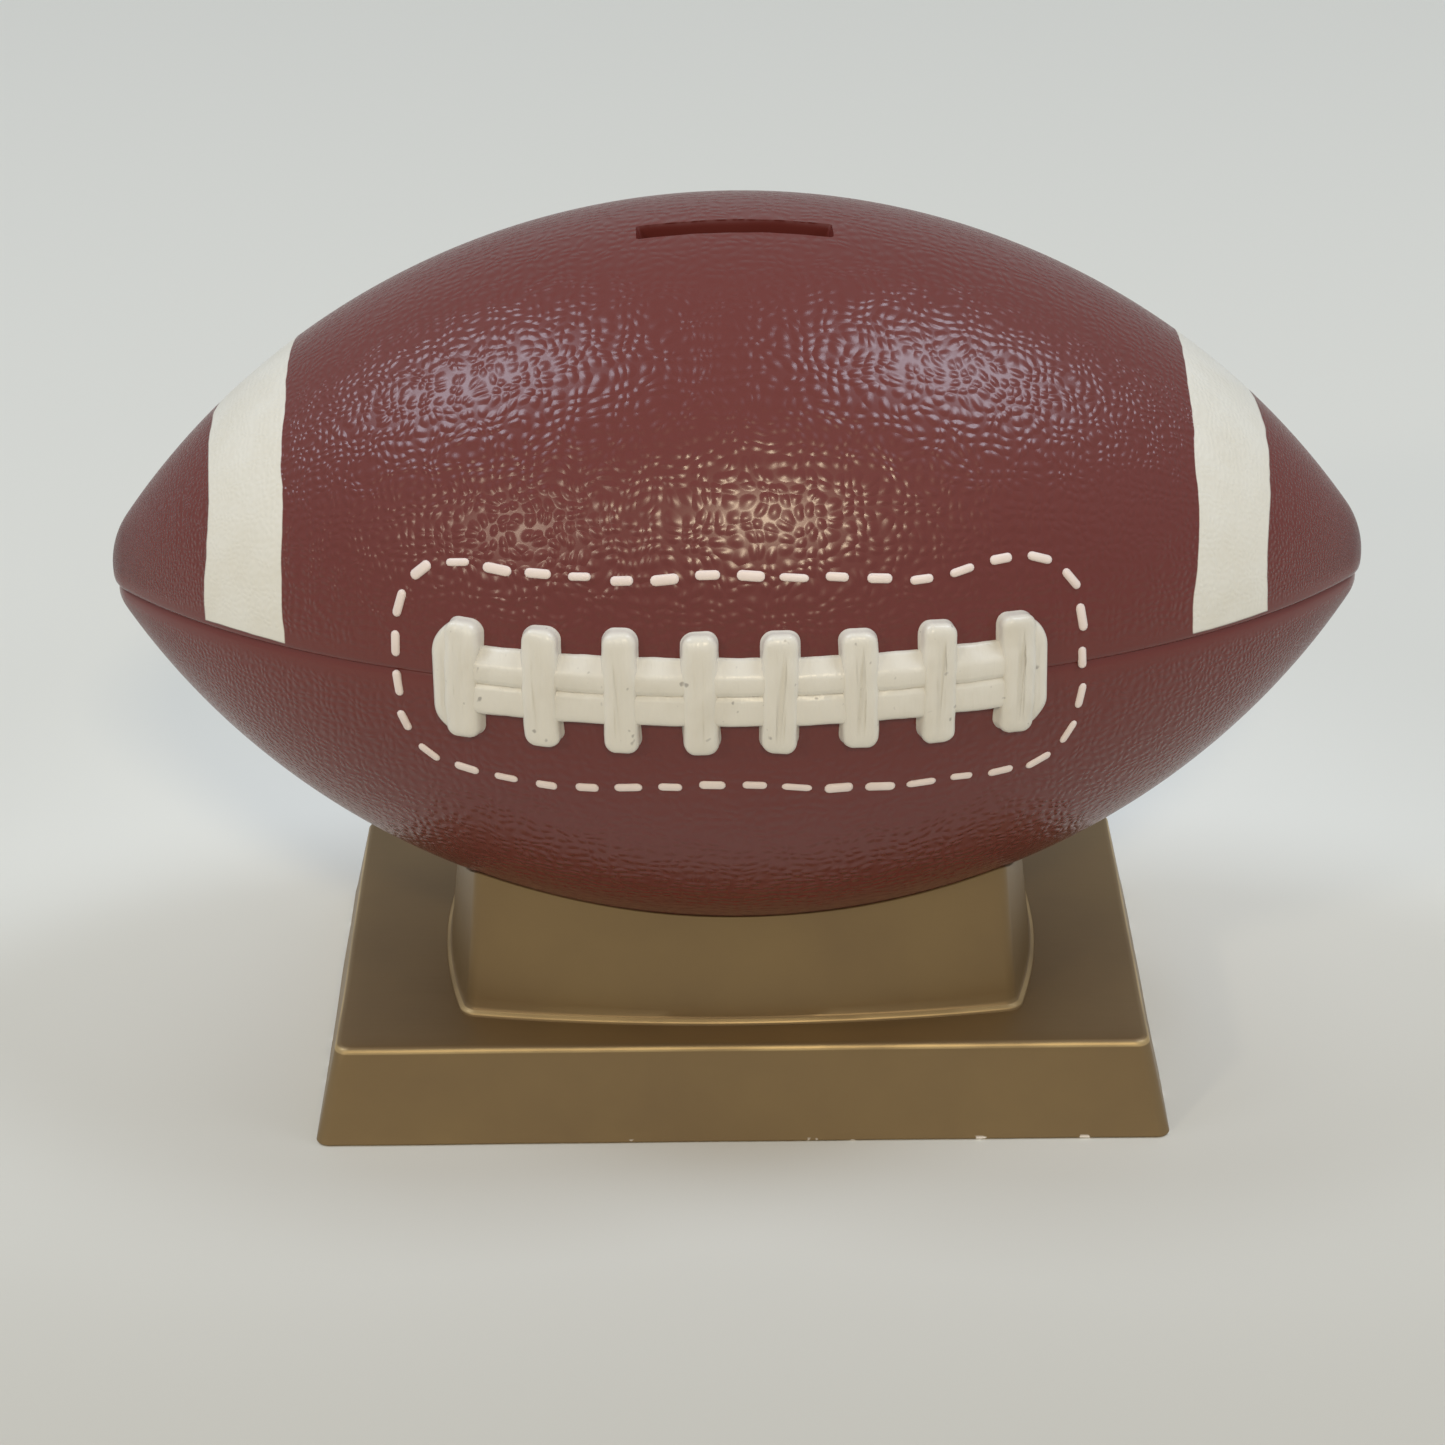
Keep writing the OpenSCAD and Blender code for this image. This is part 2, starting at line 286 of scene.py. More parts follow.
@dataclass(frozen=True)
class GlazedLeatherGrain:
    """Semi-gloss glaze on cast earthenware moulded with a leather grain.

    The glaze pools between the pebbles, so each one carries its own small highlight, and
    the two stripes are a thicker brushed paint that half fills the grain. Pitches are the
    sizes of the patterns' blobs, and the stripes' edges wander by two of them, each given
    with how far it moves the edge.
    """

    name: str = "maroon glaze on cast grain"
    colour: str = "#6b322d"
    deep: str = "#652924"
    stripe: str = "#e3e1d8"
    stripe_deep: str = "#d8d3c4"
    roughness: float = 0.26
    stripe_roughness: float = 0.5
    pebble_pitch: float = 1.88
    pebble_height: float = 0.13
    wear_pitch: float = 22.0
    tint_pitch: float = 35.0
    brush_pitch: float = 6.0
    stripe_in: float = 69.6
    stripe_out: float = 82.0
    stripe_foot: float = 1.0
    stripe_edge: float = 0.08
    stripe_rise: float = 0.9
    grain_left: float = 0.4
    wander: Profile = ((16.0, 2.2), (4.5, 0.6))
    wander_back: float = 1.3

    def build(self, striped: bool) -> Material:
        """Makes the material.

        Args:
            striped: Whether the two painted stripes run over this piece.

        Returns:
            The material.
        """
        coat = Coat(self.name + (" with stripes" if striped else ""))
        outside, height = (
            coat.add("ShaderNodeAttribute", {"attribute_name": name}).outputs["Fac"]
            for name in ("outside", "above_seam"))
        relief = self._relief(coat, outside, height)
        tint = coat.add(NOISE, Vector=coat.place, Scale=METRE / self.tint_pitch, Detail=4.0)
        colour = coat.add(MIX, COLOURS, i0=tint, i6=linear(self.deep), i7=linear(self.colour))
        roughness: Any = self.roughness
        if striped:
            mask = self._stripe_mask(coat, outside, height)
            brush = coat.add(NOISE, Vector=coat.place, Scale=METRE / self.brush_pitch,
                             Detail=3.0)
            cream = coat.add(MIX, COLOURS, i0=brush, i6=linear(self.stripe_deep),
                             i7=linear(self.stripe))
            colour = coat.add(MIX, COLOURS, i0=mask, i6=colour, i7=cream)
            filled = coat.add(RANGE, Value=mask, To_Min=1.0, To_Max=self.grain_left)
            kept = coat.add(MATH, MULTIPLY, i0=relief, i1=filled)
            relief = coat.add(MATH, MULTIPLY_ADD, i0=mask, i1=self.stripe_rise, i2=kept)
            roughness = coat.add(RANGE, Value=mask, To_Min=self.roughness,
                                 To_Max=self.stripe_roughness)
        return coat.finish(colour, roughness, relief, self.pebble_height, IOR=1.52)

    def _relief(self, coat: Coat, outside: Socket, height: Socket) -> Node:
        """Shapes the pebbles in uneven rows, worn here and there and shallow by the seam.

        Args:
            coat: The material under construction.
            outside: 1 on the outer surface.
            height: Height above the seam, in millimetres.

        Returns:
            The height field, from 0 to 1.
        """
        grain = coat.add("ShaderNodeUVMap", {"uv_map": "grain"})
        warp = coat.add(NOISE, {"noise_dimensions": "2D"}, Vector=grain,
                        Scale=0.35 / self.pebble_pitch, Detail=0.0).outputs["Color"]
        shift = coat.add("ShaderNodeVectorMath", MULTIPLY_ADD, i0=warp, i1=(2.2, 2.2, 0.0),
                         i2=grain)
        cells = coat.add("ShaderNodeTexVoronoi",
                         {"voronoi_dimensions": "2D", "feature": "SMOOTH_F1"}, Vector=shift,
                         Scale=1 / self.pebble_pitch, Smoothness=0.15, Randomness=0.6)
        pebbles = coat.add(RANGE, SOFT, Value=cells, From_Min=0.0, From_Max=0.62,
                           To_Min=1.0, To_Max=0.0)
        wear = coat.add(NOISE, Vector=coat.place, Scale=METRE / self.wear_pitch, Detail=2.0)
        depth = coat.add(RANGE, Value=wear, From_Min=0.35, From_Max=0.65, To_Min=0.7,
                         To_Max=1.0)
        from_seam = coat.add(MATH, ABSOLUTE, i0=height)
        fade = coat.add(RANGE, SOFT, Value=from_seam, From_Min=0.9, From_Max=4.0,
                        To_Min=0.1, To_Max=1.0)
        relief = pebbles
        for part in (depth, fade, outside):
            relief = coat.add(MATH, MULTIPLY, i0=relief, i1=part)
        return relief

    def _stripe_mask(self, coat: Coat, outside: Socket, height: Socket) -> Node:
        """Masks the two painted stripes, with a brushed, slightly wandering edge.

        Args:
            coat: The material under construction.
            outside: 1 on the outer surface.
            height: Height above the seam, in millimetres.

        Returns:
            The mask, 1 on the paint.
        """
        wander: Any = -self.wander_back * MM
        for detail, (pitch, reach) in enumerate(self.wander):
            drift = coat.add(NOISE, Vector=coat.place, Scale=METRE / pitch, Detail=detail)
            wander = coat.add(MATH, MULTIPLY_ADD, i0=drift, i1=reach * MM, i2=wander)
        axes = coat.add("ShaderNodeSeparateXYZ", Vector=coat.place).outputs
        across = coat.add(MATH, ABSOLUTE, i0=axes["X"])
        across = coat.add(MATH, ADD, i0=across, i1=wander)
        middle = (self.stripe_in + self.stripe_out) / 2 * MM
        off = coat.add(MATH, ABSOLUTE, i0=coat.add(MATH, SUBTRACT, i0=across, i1=middle))
        half, edge = (self.stripe_out - self.stripe_in) / 2, self.stripe_edge
        band = coat.add(RANGE, Value=off, From_Min=(half - edge) * MM,
                        From_Max=(half + edge) * MM, To_Min=1.0, To_Max=0.0)
        foot = coat.add(MATH, MULTIPLY_ADD, i0=wander, i1=0.3 / MM, i2=height)
        above = coat.add(RANGE, Value=foot, From_Min=self.stripe_foot - edge,
                         From_Max=self.stripe_foot + edge)
        both = coat.add(MATH, MULTIPLY, i0=band, i1=above)
        return coat.add(MATH, MULTIPLY, i0=both, i1=outside)


@dataclass(frozen=True)
class BrushedCream:
    """Thick hand-brushed cream glaze: soft gloss, faint strokes, tan stains and specks.

    Pitches are the sizes of the stains, the specks and the strokes.
    """

    name: str = "brushed cream glaze"
    colour: str = "#dcd7cb"
    stain: str = "#c4bcaa"
    speck: str = "#8d8780"
    roughness: float = 0.3
    stain_pitch: float = 9.0
    speck_pitch: float = 1.4
    stroke: float = 3.0
    stroke_height: float = 0.1

    def build(self) -> Material:
        """Makes the material.

        Returns:
            The material.
        """
        coat = Coat(self.name)
        blotch = coat.add(NOISE, Vector=coat.place, Scale=METRE / self.stain_pitch, Detail=3.0)
        stained = coat.add(RANGE, Value=blotch, From_Min=0.5, From_Max=0.8, To_Min=0.0,
                           To_Max=0.55)
        colour = coat.add(MIX, COLOURS, i0=stained, i6=linear(self.colour),
                          i7=linear(self.stain))
        dots = coat.add(NOISE, Vector=coat.place, Scale=METRE / self.speck_pitch, Detail=1.0)
        specked = coat.add(RANGE, Value=dots, From_Min=0.72, From_Max=0.8, To_Min=0.0,
                           To_Max=0.7)
        colour = coat.add(MIX, COLOURS, i0=specked, i6=colour, i7=linear(self.speck))
        drawn = coat.add("ShaderNodeMapping", Vector=coat.place, Scale=(4.0, 1.0, 0.6))
        strokes = coat.add(NOISE, Vector=drawn, Scale=METRE / self.stroke, Detail=3.0)
        return coat.finish(colour, self.roughness, strokes, self.stroke_height, IOR=1.5)


@dataclass(frozen=True)
class BronzePaint:
    """Satin bronze craft paint brushed over the casting.

    Mica flakes give it a soft metallic sheen, with fine brush marks along X and small
    chips along the foot, where the white body shows. A painted highlight lightens the edges
    between the given heights, and the chips lie below another height and grow past a distance.
    """

    name: str = "satin bronze paint"
    colour: str = "#8d7650"
    shade: str = "#7c6648"
    rubbed: str = "#c2a878"
    body: str = "#efe6dc"
    roughness: float = 0.44
    metallic: float = 0.55
    cloud_pitch: float = 18.0
    brush_pitch: float = 1.2
    brush_height: float = 0.02
    highlight_pitch: float = 14.0
    chip_pitch: float = 4.0
    # Heights of the bands that carry the painted highlight.
    edges: tuple[tuple[float, float], ...] = ((14.95, 15.8), (16.3, 16.9))
    chips_up_to: float = 0.8
    corners: tuple[float, float] = (64.0, 68.0)

    def build(self) -> Material:
        """Makes the material.

        Returns:
            The material.
        """
        coat = Coat(self.name)
        cloud = coat.add(NOISE, Vector=coat.place, Scale=METRE / self.cloud_pitch, Detail=4.0)
        colour = coat.add(MIX, COLOURS, i0=cloud, i6=linear(self.shade),
                          i7=linear(self.colour))
        # Painted highlight: a lighter colour along the plinth's top edge and the neck's bead.
        colour = coat.add(MIX, COLOURS, i0=self._rubbed(coat), i6=colour,
                          i7=linear(self.rubbed))
        chip = self._chips(coat)
        colour = coat.add(MIX, COLOURS, i0=chip, i6=colour, i7=linear(self.body))
        metal = coat.add(RANGE, Value=chip, To_Min=self.metallic, To_Max=0.0)
        along = coat.add("ShaderNodeMapping", Vector=coat.place, Scale=(0.12, 1.0, 1.0))
        brush = coat.add(NOISE, Vector=along, Scale=METRE / self.brush_pitch, Detail=2.0)
        return coat.finish(colour, self.roughness, brush, self.brush_height, Metallic=metal)

    def _rubbed(self, coat: Coat) -> Node:
        """Masks the plinth's top edge and the neck's bead, which carry a painted highlight.

        Args:
            coat: The material under construction.

        Returns:
            The mask.
        """
        height = coat.add("ShaderNodeSeparateXYZ", Vector=coat.place).outputs["Z"]
        total: Any = 0.0
        for low, high in self.edges:
            off = coat.add(MATH, SUBTRACT, i0=height, i1=(low + high) / 2 * MM)
            off = coat.add(MATH, ABSOLUTE, i0=off)
            near = coat.add(RANGE, Value=off, From_Min=(high - low) * 0.3 * MM,
                            From_Max=(high - low) / 2 * MM, To_Min=0.8, To_Max=0.0)
            total = coat.add(MATH, ADD, i0=near, i1=total)
        patchy = coat.add(NOISE, Vector=coat.place, Scale=METRE / self.highlight_pitch, Detail=2.0)
        some = coat.add(RANGE, Value=patchy, From_Min=0.3, From_Max=0.6, To_Min=0.35,
                        To_Max=1.0)
        return coat.add(MATH, MULTIPLY, i0=total, i1=some)

    def _chips(self, coat: Coat) -> Node:
        """Masks the few chips along the foot, more and larger ones towards its corners.

        Args:
            coat: The material under construction.

        Returns:
            The mask, 1 where the white body shows.
        """
        axes = coat.add("ShaderNodeSeparateXYZ", Vector=coat.place).outputs
        across = coat.add(MATH, ABSOLUTE, i0=axes["X"])
        corner = coat.add(RANGE, Value=across, From_Min=self.corners[0] * MM,
                          From_Max=self.corners[1] * MM, To_Min=0.0, To_Max=0.1)
        spots = coat.add(NOISE, Vector=coat.place, Scale=METRE / self.chip_pitch, Detail=2.0)
        spots = coat.add(MATH, ADD, i0=spots, i1=corner)
        rare = coat.add(RANGE, Value=spots, From_Min=0.67, From_Max=0.69)
        low = coat.add(RANGE, Value=axes["Z"], From_Min=self.chips_up_to / 2 * MM,
                       From_Max=self.chips_up_to * MM, To_Min=1.0, To_Max=0.0)
        return coat.add(MATH, MULTIPLY, i0=rare, i1=low)


@dataclass(frozen=True)
class PlainFinish:
    """A finish of one main colour with a fine mottle and a fine surface texture."""

    name: str
    colour: str
    second: str
    roughness: float
    mottle: float = 4.0
    texture: float = 0.8
    depth: float = 0.03

    def build(self) -> Material:
        """Makes the material.

        Returns:
            The material.
        """
        coat = Coat(self.name)
        patch = coat.add(NOISE, Vector=coat.place, Scale=METRE / self.mottle, Detail=3.0)
        colour = coat.add(MIX, COLOURS, i0=patch, i6=linear(self.second),
                          i7=linear(self.colour))
        fine = coat.add(NOISE, Vector=coat.place, Scale=METRE / self.texture, Detail=2.0)
        return coat.finish(colour, self.roughness, fine, self.depth)


STITCH_PAINT = PlainFinish("raised stitch paint", "#ece0d8", "#e0cdc4", 0.42)
RUBBER = PlainFinish("moulded black rubber", "#2b2927", "#232120", 0.62)


# ---- Ball -------------------------------------------------------------------


@dataclass
class BallForm:
    """The ball's outline, a long arc over the side tangent to a round tip, and its place.

    Shapes are drawn in the ball's own frame, level and with its middle at the origin, and
    then set into the saddle, rolled back so that the laces face up a little.
    """

    length: float = 199.99
    diameter: float = 115.99
    tip_r: float = 13.5
    axis_z: float = 83.0
    set_back: float = 1.4
    roll: float = math.radians(6.5)
    wall: float = 4.5
    seam_drop: float = 2.8

    @property
    def girth_r(self) -> float:
        """Radius of the ball at its middle."""
        return self.diameter / 2

    @property
    def tip_x(self) -> float:
        """Distance from the middle to the centre of a tip."""
        return self.length / 2 - self.tip_r

    @property
    def arc_r(self) -> float:
        """Radius of the long side arc."""
        spare = self.tip_x ** 2 + self.girth_r ** 2 - self.tip_r ** 2
        return spare / (self.diameter - 2 * self.tip_r)

    @property
    def arc_depth(self) -> float:
        """How far the side arc's centre lies past the ball's axis."""
        return self.arc_r - self.girth_r

    @property
    def shoulder(self) -> float:
        """Angle of the outline's normal where the arc meets the tip."""
        return math.asin(self.tip_x / (self.arc_r - self.tip_r))

    def outline(self, lean: np.ndarray) -> tuple[np.ndarray, np.ndarray]:
        """Finds the outline where its normal leans by an angle towards +X.

        Args:
            lean: Angles of the normal from the radial direction, in radians.

        Returns:
            Distances along the axis and radii.
        """
        on_arc = np.abs(lean) <= self.shoulder
        x = np.where(on_arc, self.arc_r * np.sin(lean),
                     np.sign(lean) * self.tip_x + self.tip_r * np.sin(lean))
        r = np.where(on_arc, self.arc_r * np.cos(lean) - self.arc_depth,
                     self.tip_r * np.cos(lean))
        return x, np.maximum(r, 0.0)

    def stations(self, along_arc: int, along_tip: int, limit: float) -> np.ndarray:
        """Normal angles from the left tip to the right one, in near-even steps.

        Args:
            along_arc: How many over the side arc.
            along_tip: How many over each tip, the shoulder included.
            limit: Largest angle.

        Returns:
            The angles, in radians.
        """
        side = np.linspace(-self.shoulder, self.shoulder, along_arc)
        tip = np.linspace(self.shoulder, limit, along_tip)[1:]
        return np.concatenate([-tip[::-1], side, tip])

    def radius(self, x: np.ndarray) -> np.ndarray:
        """Radius of the outside at a distance along the axis.

        Args:
            x: Distances from the middle.

        Returns:
            The radii.
        """
        edge = self.arc_r * math.sin(self.shoulder)
        away = np.clip(np.abs(x), 0, self.length / 2)
        arc = np.sqrt(np.maximum(self.arc_r ** 2 - away ** 2, 0)) - self.arc_depth
        tip = np.sqrt(np.maximum(self.tip_r ** 2 - (away - self.tip_x) ** 2, 0))
        return np.where(away < edge, arc, tip)

    def rise(self, x: np.ndarray, y: np.ndarray) -> np.ndarray:
        """Height of the ball's surface above its axis over a point of the plan."""
        return np.sqrt(np.maximum(self.radius(x) ** 2 - (y - self.set_back) ** 2, 0))

    def placed(self, points: np.ndarray, tilt: float = 0.0) -> np.ndarray:
        """Sets points of the ball's own frame into the saddle.

        Args:
            points: Points in the ball's own frame.
            tilt: Angle by which the points dip towards the front first.

        Returns:
            The points in the model's frame.
        """
        c, s = math.cos(tilt - self.roll), math.sin(tilt - self.roll)
        x, y, z = points.T
        return np.stack([x, y * c - z * s + self.set_back, y * s + z * c + self.axis_z], 1)

    def owned(self, points: np.ndarray) -> np.ndarray:
        """Takes points of the model's frame back into the ball's own frame.

        Args:
            points: Points in the model's frame.

        Returns:
            The points in the ball's own frame.
        """
        c, s = math.cos(self.roll), math.sin(self.roll)
        x, y, z = (points - (0.0, self.set_back, self.axis_z)).T
        return np.stack([x, y * c - z * s, y * s + z * c], 1)


@dataclass
class Shell:
    """One half of the hollow ball, from its glazed outside to its bare inside."""

    side: Side
    form: BallForm = field(default_factory=BallForm)
    along_arc: int = 230
    along_tip: int = 26
    around_outside: int = 150
    around_inside: int = 40
    valley: float = 0.42
    tip_valley: float = 0.85
    tongue: float = 3.0
    gap: float = 0.15
    skin: float = 0.25

    def rim_tracks(self, tongue: float, part: float) -> list[tuple[float, float]]:
        """Lines that run along the seam, from the outside to the inside.

        Glaze has filled the groove to a soft valley: a short step down from above and a
        long rounded shoulder below, deepest at the tips.

        Args:
            tongue: Length of the tongue, or depth of the rabbet that takes it.
            part: How far out towards a tip the lines are, from 0 to 1.

        Returns:
            The depth below the ball's surface and the height from the ball's axis of each.
        """
        form, seam = self.form, -self.form.seam_drop
        half = form.wall / 2
        deep = self.valley + (self.tip_valley - self.valley) * part ** 4
        # Each step of a slope is a share of the valley's depth and a height from the seam.
        if self.side is Side.UPPER:
            foot = seam - tongue
            slope = ((0.06, 0.75), (0.25, 0.4), (0.6, 0.18), (0.88, 0.05), (1.0, 0.0))
            tracks = [(deep * d, seam + h) for d, h in slope]
            return tracks + [(half + self.gap, seam), (half + self.gap, foot),
                             (form.wall, foot)]
        foot = seam - tongue * (1 + self.gap / self.tongue)
        slope = ((0.03, 2.3), (0.12, 1.6), (0.3, 1.0), (0.58, 0.45), (0.85, 0.12), (1.0, 0.0))
        tracks = [(deep * d, seam - h) for d, h in slope]
        return tracks + [(half, seam), (half, foot), (form.wall, foot)]

    def section(self, lean: float) -> Ring:
        """One slice of the shell, square to its outline.

        Args:
            lean: The outline's normal angle at the slice.

        Returns:
            The points of the slice's closed loop, in the ball's own frame.
        """
        form = self.form
        x0, r0 = (float(v[0]) for v in form.outline(np.array([lean])))
        fade = (form.shoulder - abs(lean)) / 0.12
        tracks = self.rim_tracks(self.tongue * min(1.0, max(0.0, fade)),
                                 abs(2 * x0 / form.length))
        upper = self.side is Side.UPPER
        start_z = tracks[0][1] + 0.5 * self.side.value

        def place(depth: float, z: float) -> tuple[float, float, float]:
            """Finds a track's point on the slice, held where the two lips have met.

            Args:
                depth: Depth below the ball's surface.
                z: Height from the ball's axis.

            Returns:
                The distance along the axis, the radius and the height.
            """
            r = max(r0 - depth * math.cos(lean), 0.0)
            if upper:
                return x0 - depth * math.sin(lean), r, max(z, -r)
            z = max(z, -max(r, form.seam_drop))
            grown = max(r, -z)
            slid = (r0 - grown) / max(math.cos(lean), 1e-6)
            return x0 - slid * math.sin(lean), grown, z

        def arc(depth: float, height: float, count: int) -> Ring:
            """Runs from the front lip round the ball to the back lip.

            Args:
                depth: Depth below the ball's surface.
                height: Height of the lips from the ball's axis.
                count: How many points.

            Returns:
                The points.
            """
            x, r, z = place(depth, height)
            low = math.asin(max(-1.0, min(1.0, z / r))) if r > 1e-9 else 0.0
            turn = np.linspace(low, self.side.value * math.pi - low, count)
            return np.stack([np.full(count, x), -r * np.cos(turn), r * np.sin(turn)], 1)

        def line(depth: float, height: float, back: bool) -> Ring:
            """Marks the one point in which a track along the seam cuts the slice.

            Args:
                depth: Depth below the ball's surface.
                height: Height from the ball's axis.
                back: Whether the track is the one behind.

            Returns:
                The point, as a ring of one.
            """
            x, r, z = place(depth, height)
            y = math.sqrt(max(r * r - z * z, 0.0))
            return np.array([[x, y if back else -y, z]])

        outer = arc(0.0, start_z, self.around_outside)
        inner = arc(form.wall, tracks[-1][1], self.around_inside)[::-1]
        back = [line(d, z, True) for d, z in tracks[:-1]]
        front = [line(d, z, False) for d, z in reversed(tracks[:-1])]
        return np.concatenate([outer, *back, inner, *front])

    def build(self) -> Object:
        """Builds the shell as one closed wall.

        Returns:
            The shell, before the slot or the collar.
        """
        form = self.form
        limit = math.pi / 2 if self.side is Side.UPPER else math.acos(
            form.seam_drop / form.tip_r)
        leans = form.stations(self.along_arc, self.along_tip, limit)
        points, faces = loft([self.section(float(a)) for a in leans], skip_slit=True)
        return new_object(f"glazed_{self.side.name.lower()}_shell", form.placed(points), faces)

    def map_grain(self, shell: Object) -> None:
        """Writes the grain map, the mask of the outside and the height above the seam.

        The map is conformal: the pebbles keep their shape and shrink towards the tips,
        and the pattern breaks only along the seam.

        Args:
            shell: The finished shell.
        """
        form, mesh = self.form, shell.data
        co = form.owned(points_of(mesh))
        r = np.hypot(co[:, 1], co[:, 2])
        lean = np.linspace(-1.5, 1.5, 6001)
        xs, rs = form.outline(lean)
        step = np.hypot(np.diff(xs), np.diff(rs)) / np.maximum((rs[1:] + rs[:-1]) / 2, 0.5)
        travel = np.concatenate([[0.0], np.cumsum(step)])
        travel -= travel[len(travel) // 2]
        u = np.interp(co[:, 0], xs, travel) * form.girth_r
        turn = np.arctan2(co[:, 2], -co[:, 1])
        if self.side is Side.UPPER:
            turn = np.where(turn < -math.pi / 2, turn + 2 * math.pi, turn)
        else:
            turn = np.where(turn > math.pi / 2, turn - 2 * math.pi, turn)
        v = turn * form.girth_r
        loops = np.zeros(len(mesh.loops), dtype=np.int32)
        mesh.loops.foreach_get("vertex_index", loops)
        layer = mesh.uv_layers.new(name="grain")
        layer.data.foreach_set("uv", np.stack([u, v], 1)[loops].ravel())
        fields = {"outside": np.clip(1.0 - self._off_surface(co, r) / self.skin, 0, 1),
                  "above_seam": co[:, 2] + form.seam_drop}
        for name, values in fields.items():
            attribute = mesh.attributes.new(name, "FLOAT", "POINT")
            attribute.data.foreach_set("value", values.astype(np.float32))

    def _off_surface(self, co: np.ndarray, r: np.ndarray) -> np.ndarray:
        """Depth of each point below the shell's outer surface.

        Args:
            co: Points in the ball's own frame.
            r: Their distances from the ball's axis.

        Returns:
            The depths, in millimetres.
        """
        form = self.form
        ax = np.abs(co[:, 0])
        on_tip = ax > form.tip_x + (form.tip_x / form.arc_depth) * r
        deep_arc = form.arc_r - np.hypot(ax, r + form.arc_depth)
        deep_tip = form.tip_r - np.hypot(ax - form.tip_x, r)
        deep = np.where(on_tip, deep_tip, deep_arc)
        return np.abs(deep)


# ---- Shapes shared by the laces and the pedestal ----------------------------


def rounded_ring(width: float, depth: float, radius: float, bow: float = 0.0,
                 per_side: int = 28, per_corner: int = 9) -> np.ndarray:
    """Plan of a rectangle with round corners and, if asked, sides that bow outwards.

    Args:
        width: Size along X, over the bows.
        depth: Size along Y, over the bows.
        radius: Radius of the corners.
        bow: How far the middle of a side stands out past its ends.
        per_side: Points along each side.
        per_corner: Points round each corner.

    Returns:
        The x and y of each point, counter-clockwise.
    """
    half_w, half_d = width / 2, depth / 2
    flat = max(bow, 1e-4)
    rx = ((half_d - flat) ** 2 + flat ** 2) / (2 * flat)
    ry = ((half_w - flat) ** 2 + flat ** 2) / (2 * flat)
    cx, cy = half_w - flat - radius, half_d - flat - radius
    for _ in range(60):
        cx = math.sqrt((rx - radius) ** 2 - cy ** 2) - (rx - half_w)
        cy = math.sqrt((ry - radius) ** 2 - cx ** 2) - (ry - half_d)
    swing_x = math.asin(cy / (rx - radius))
    swing_y = math.asin(cx / (ry - radius))
    right = np.linspace(-swing_x, swing_x, per_side)
    corner = np.linspace(swing_x, math.pi / 2 - swing_y, per_corner + 2)[1:-1]
    top = np.linspace(-swing_y, swing_y, per_side)
    quarter = [
        np.stack([half_w - rx + rx * np.cos(right), rx * np.sin(right)], 1),
        np.stack([cx + radius * np.cos(corner), cy + radius * np.sin(corner)], 1),
        np.stack([-ry * np.sin(top), half_d - ry + ry * np.cos(top)], 1),
        np.stack([-cx - radius * np.cos(corner[::-1]), cy + radius * np.sin(corner[::-1])], 1),
    ]
    half = np.concatenate(quarter)
    return np.concatenate([half, -half])


def level(plan: np.ndarray, z: Any) -> Ring:
    """Lifts a plan to a height, or to one height for each point."""
    return np.column_stack([plan, np.broadcast_to(z, len(plan))])


def round_plan(plan: np.ndarray, radius: float) -> np.ndarray:
    """Circle whose points lie in the same directions as a plan's points."""
    return plan / np.linalg.norm(plan, axis=1, keepdims=True) * radius


def turned(name: str, outline: Sequence[tuple[float, float]],
           sharp_above: float = 40.0) -> Object:
    """Turns an outline round the Z axis into a solid.

    Args:
        name: The object's name.
        outline: The radius and the height of each point, in order.
        sharp_above: Edges with a larger angle, in degrees, stay sharp.

    Returns:
        The solid.
    """
    turn = np.linspace(0, 2 * math.pi, 96, endpoint=False)
    circle = np.stack([np.cos(turn), np.sin(turn)], 1)
    points, faces = loft([level(circle * r, z) for r, z in outline], caps=True)
    return new_object(name, points, faces, sharp_above)


def worn(points: np.ndarray, amount: float, pitch: float, seed: int) -> np.ndarray:
    """Moves points by a smooth random field, for the unevenness of hand work.

    Args:
        points: Points in millimetres.
        amount: Largest move in each direction, about, in millimetres.
        pitch: Size of the unevenness, in millimetres.
        seed: Picks the field.

    Returns:
        The moved points.
    """
    rng = np.random.default_rng(seed)
    moved = points.copy()
    for _ in range(5):
        wave = rng.normal(size=(3, 3)) * (2 * math.pi / pitch) * 0.6
        phase = rng.uniform(0, 2 * math.pi, 3)
        moved += amount * 0.4 * np.sin(points @ wave + phase)
    return moved


def cut(target: Object, cutter: Object, how: str = "DIFFERENCE") -> None:
    """Cuts one solid with another, or joins them, and removes the second.

    Args:
        target: The solid that stays.
        cutter: The solid that cuts or joins it.
        how: The operation.
    """
    modifier = target.modifiers.new(how, "BOOLEAN")
    modifier.operation = how
    modifier.solver = "EXACT"
    modifier.object = cutter
    baked(target)
    remove(cutter)


# ---- Slot and collar --------------------------------------------------------


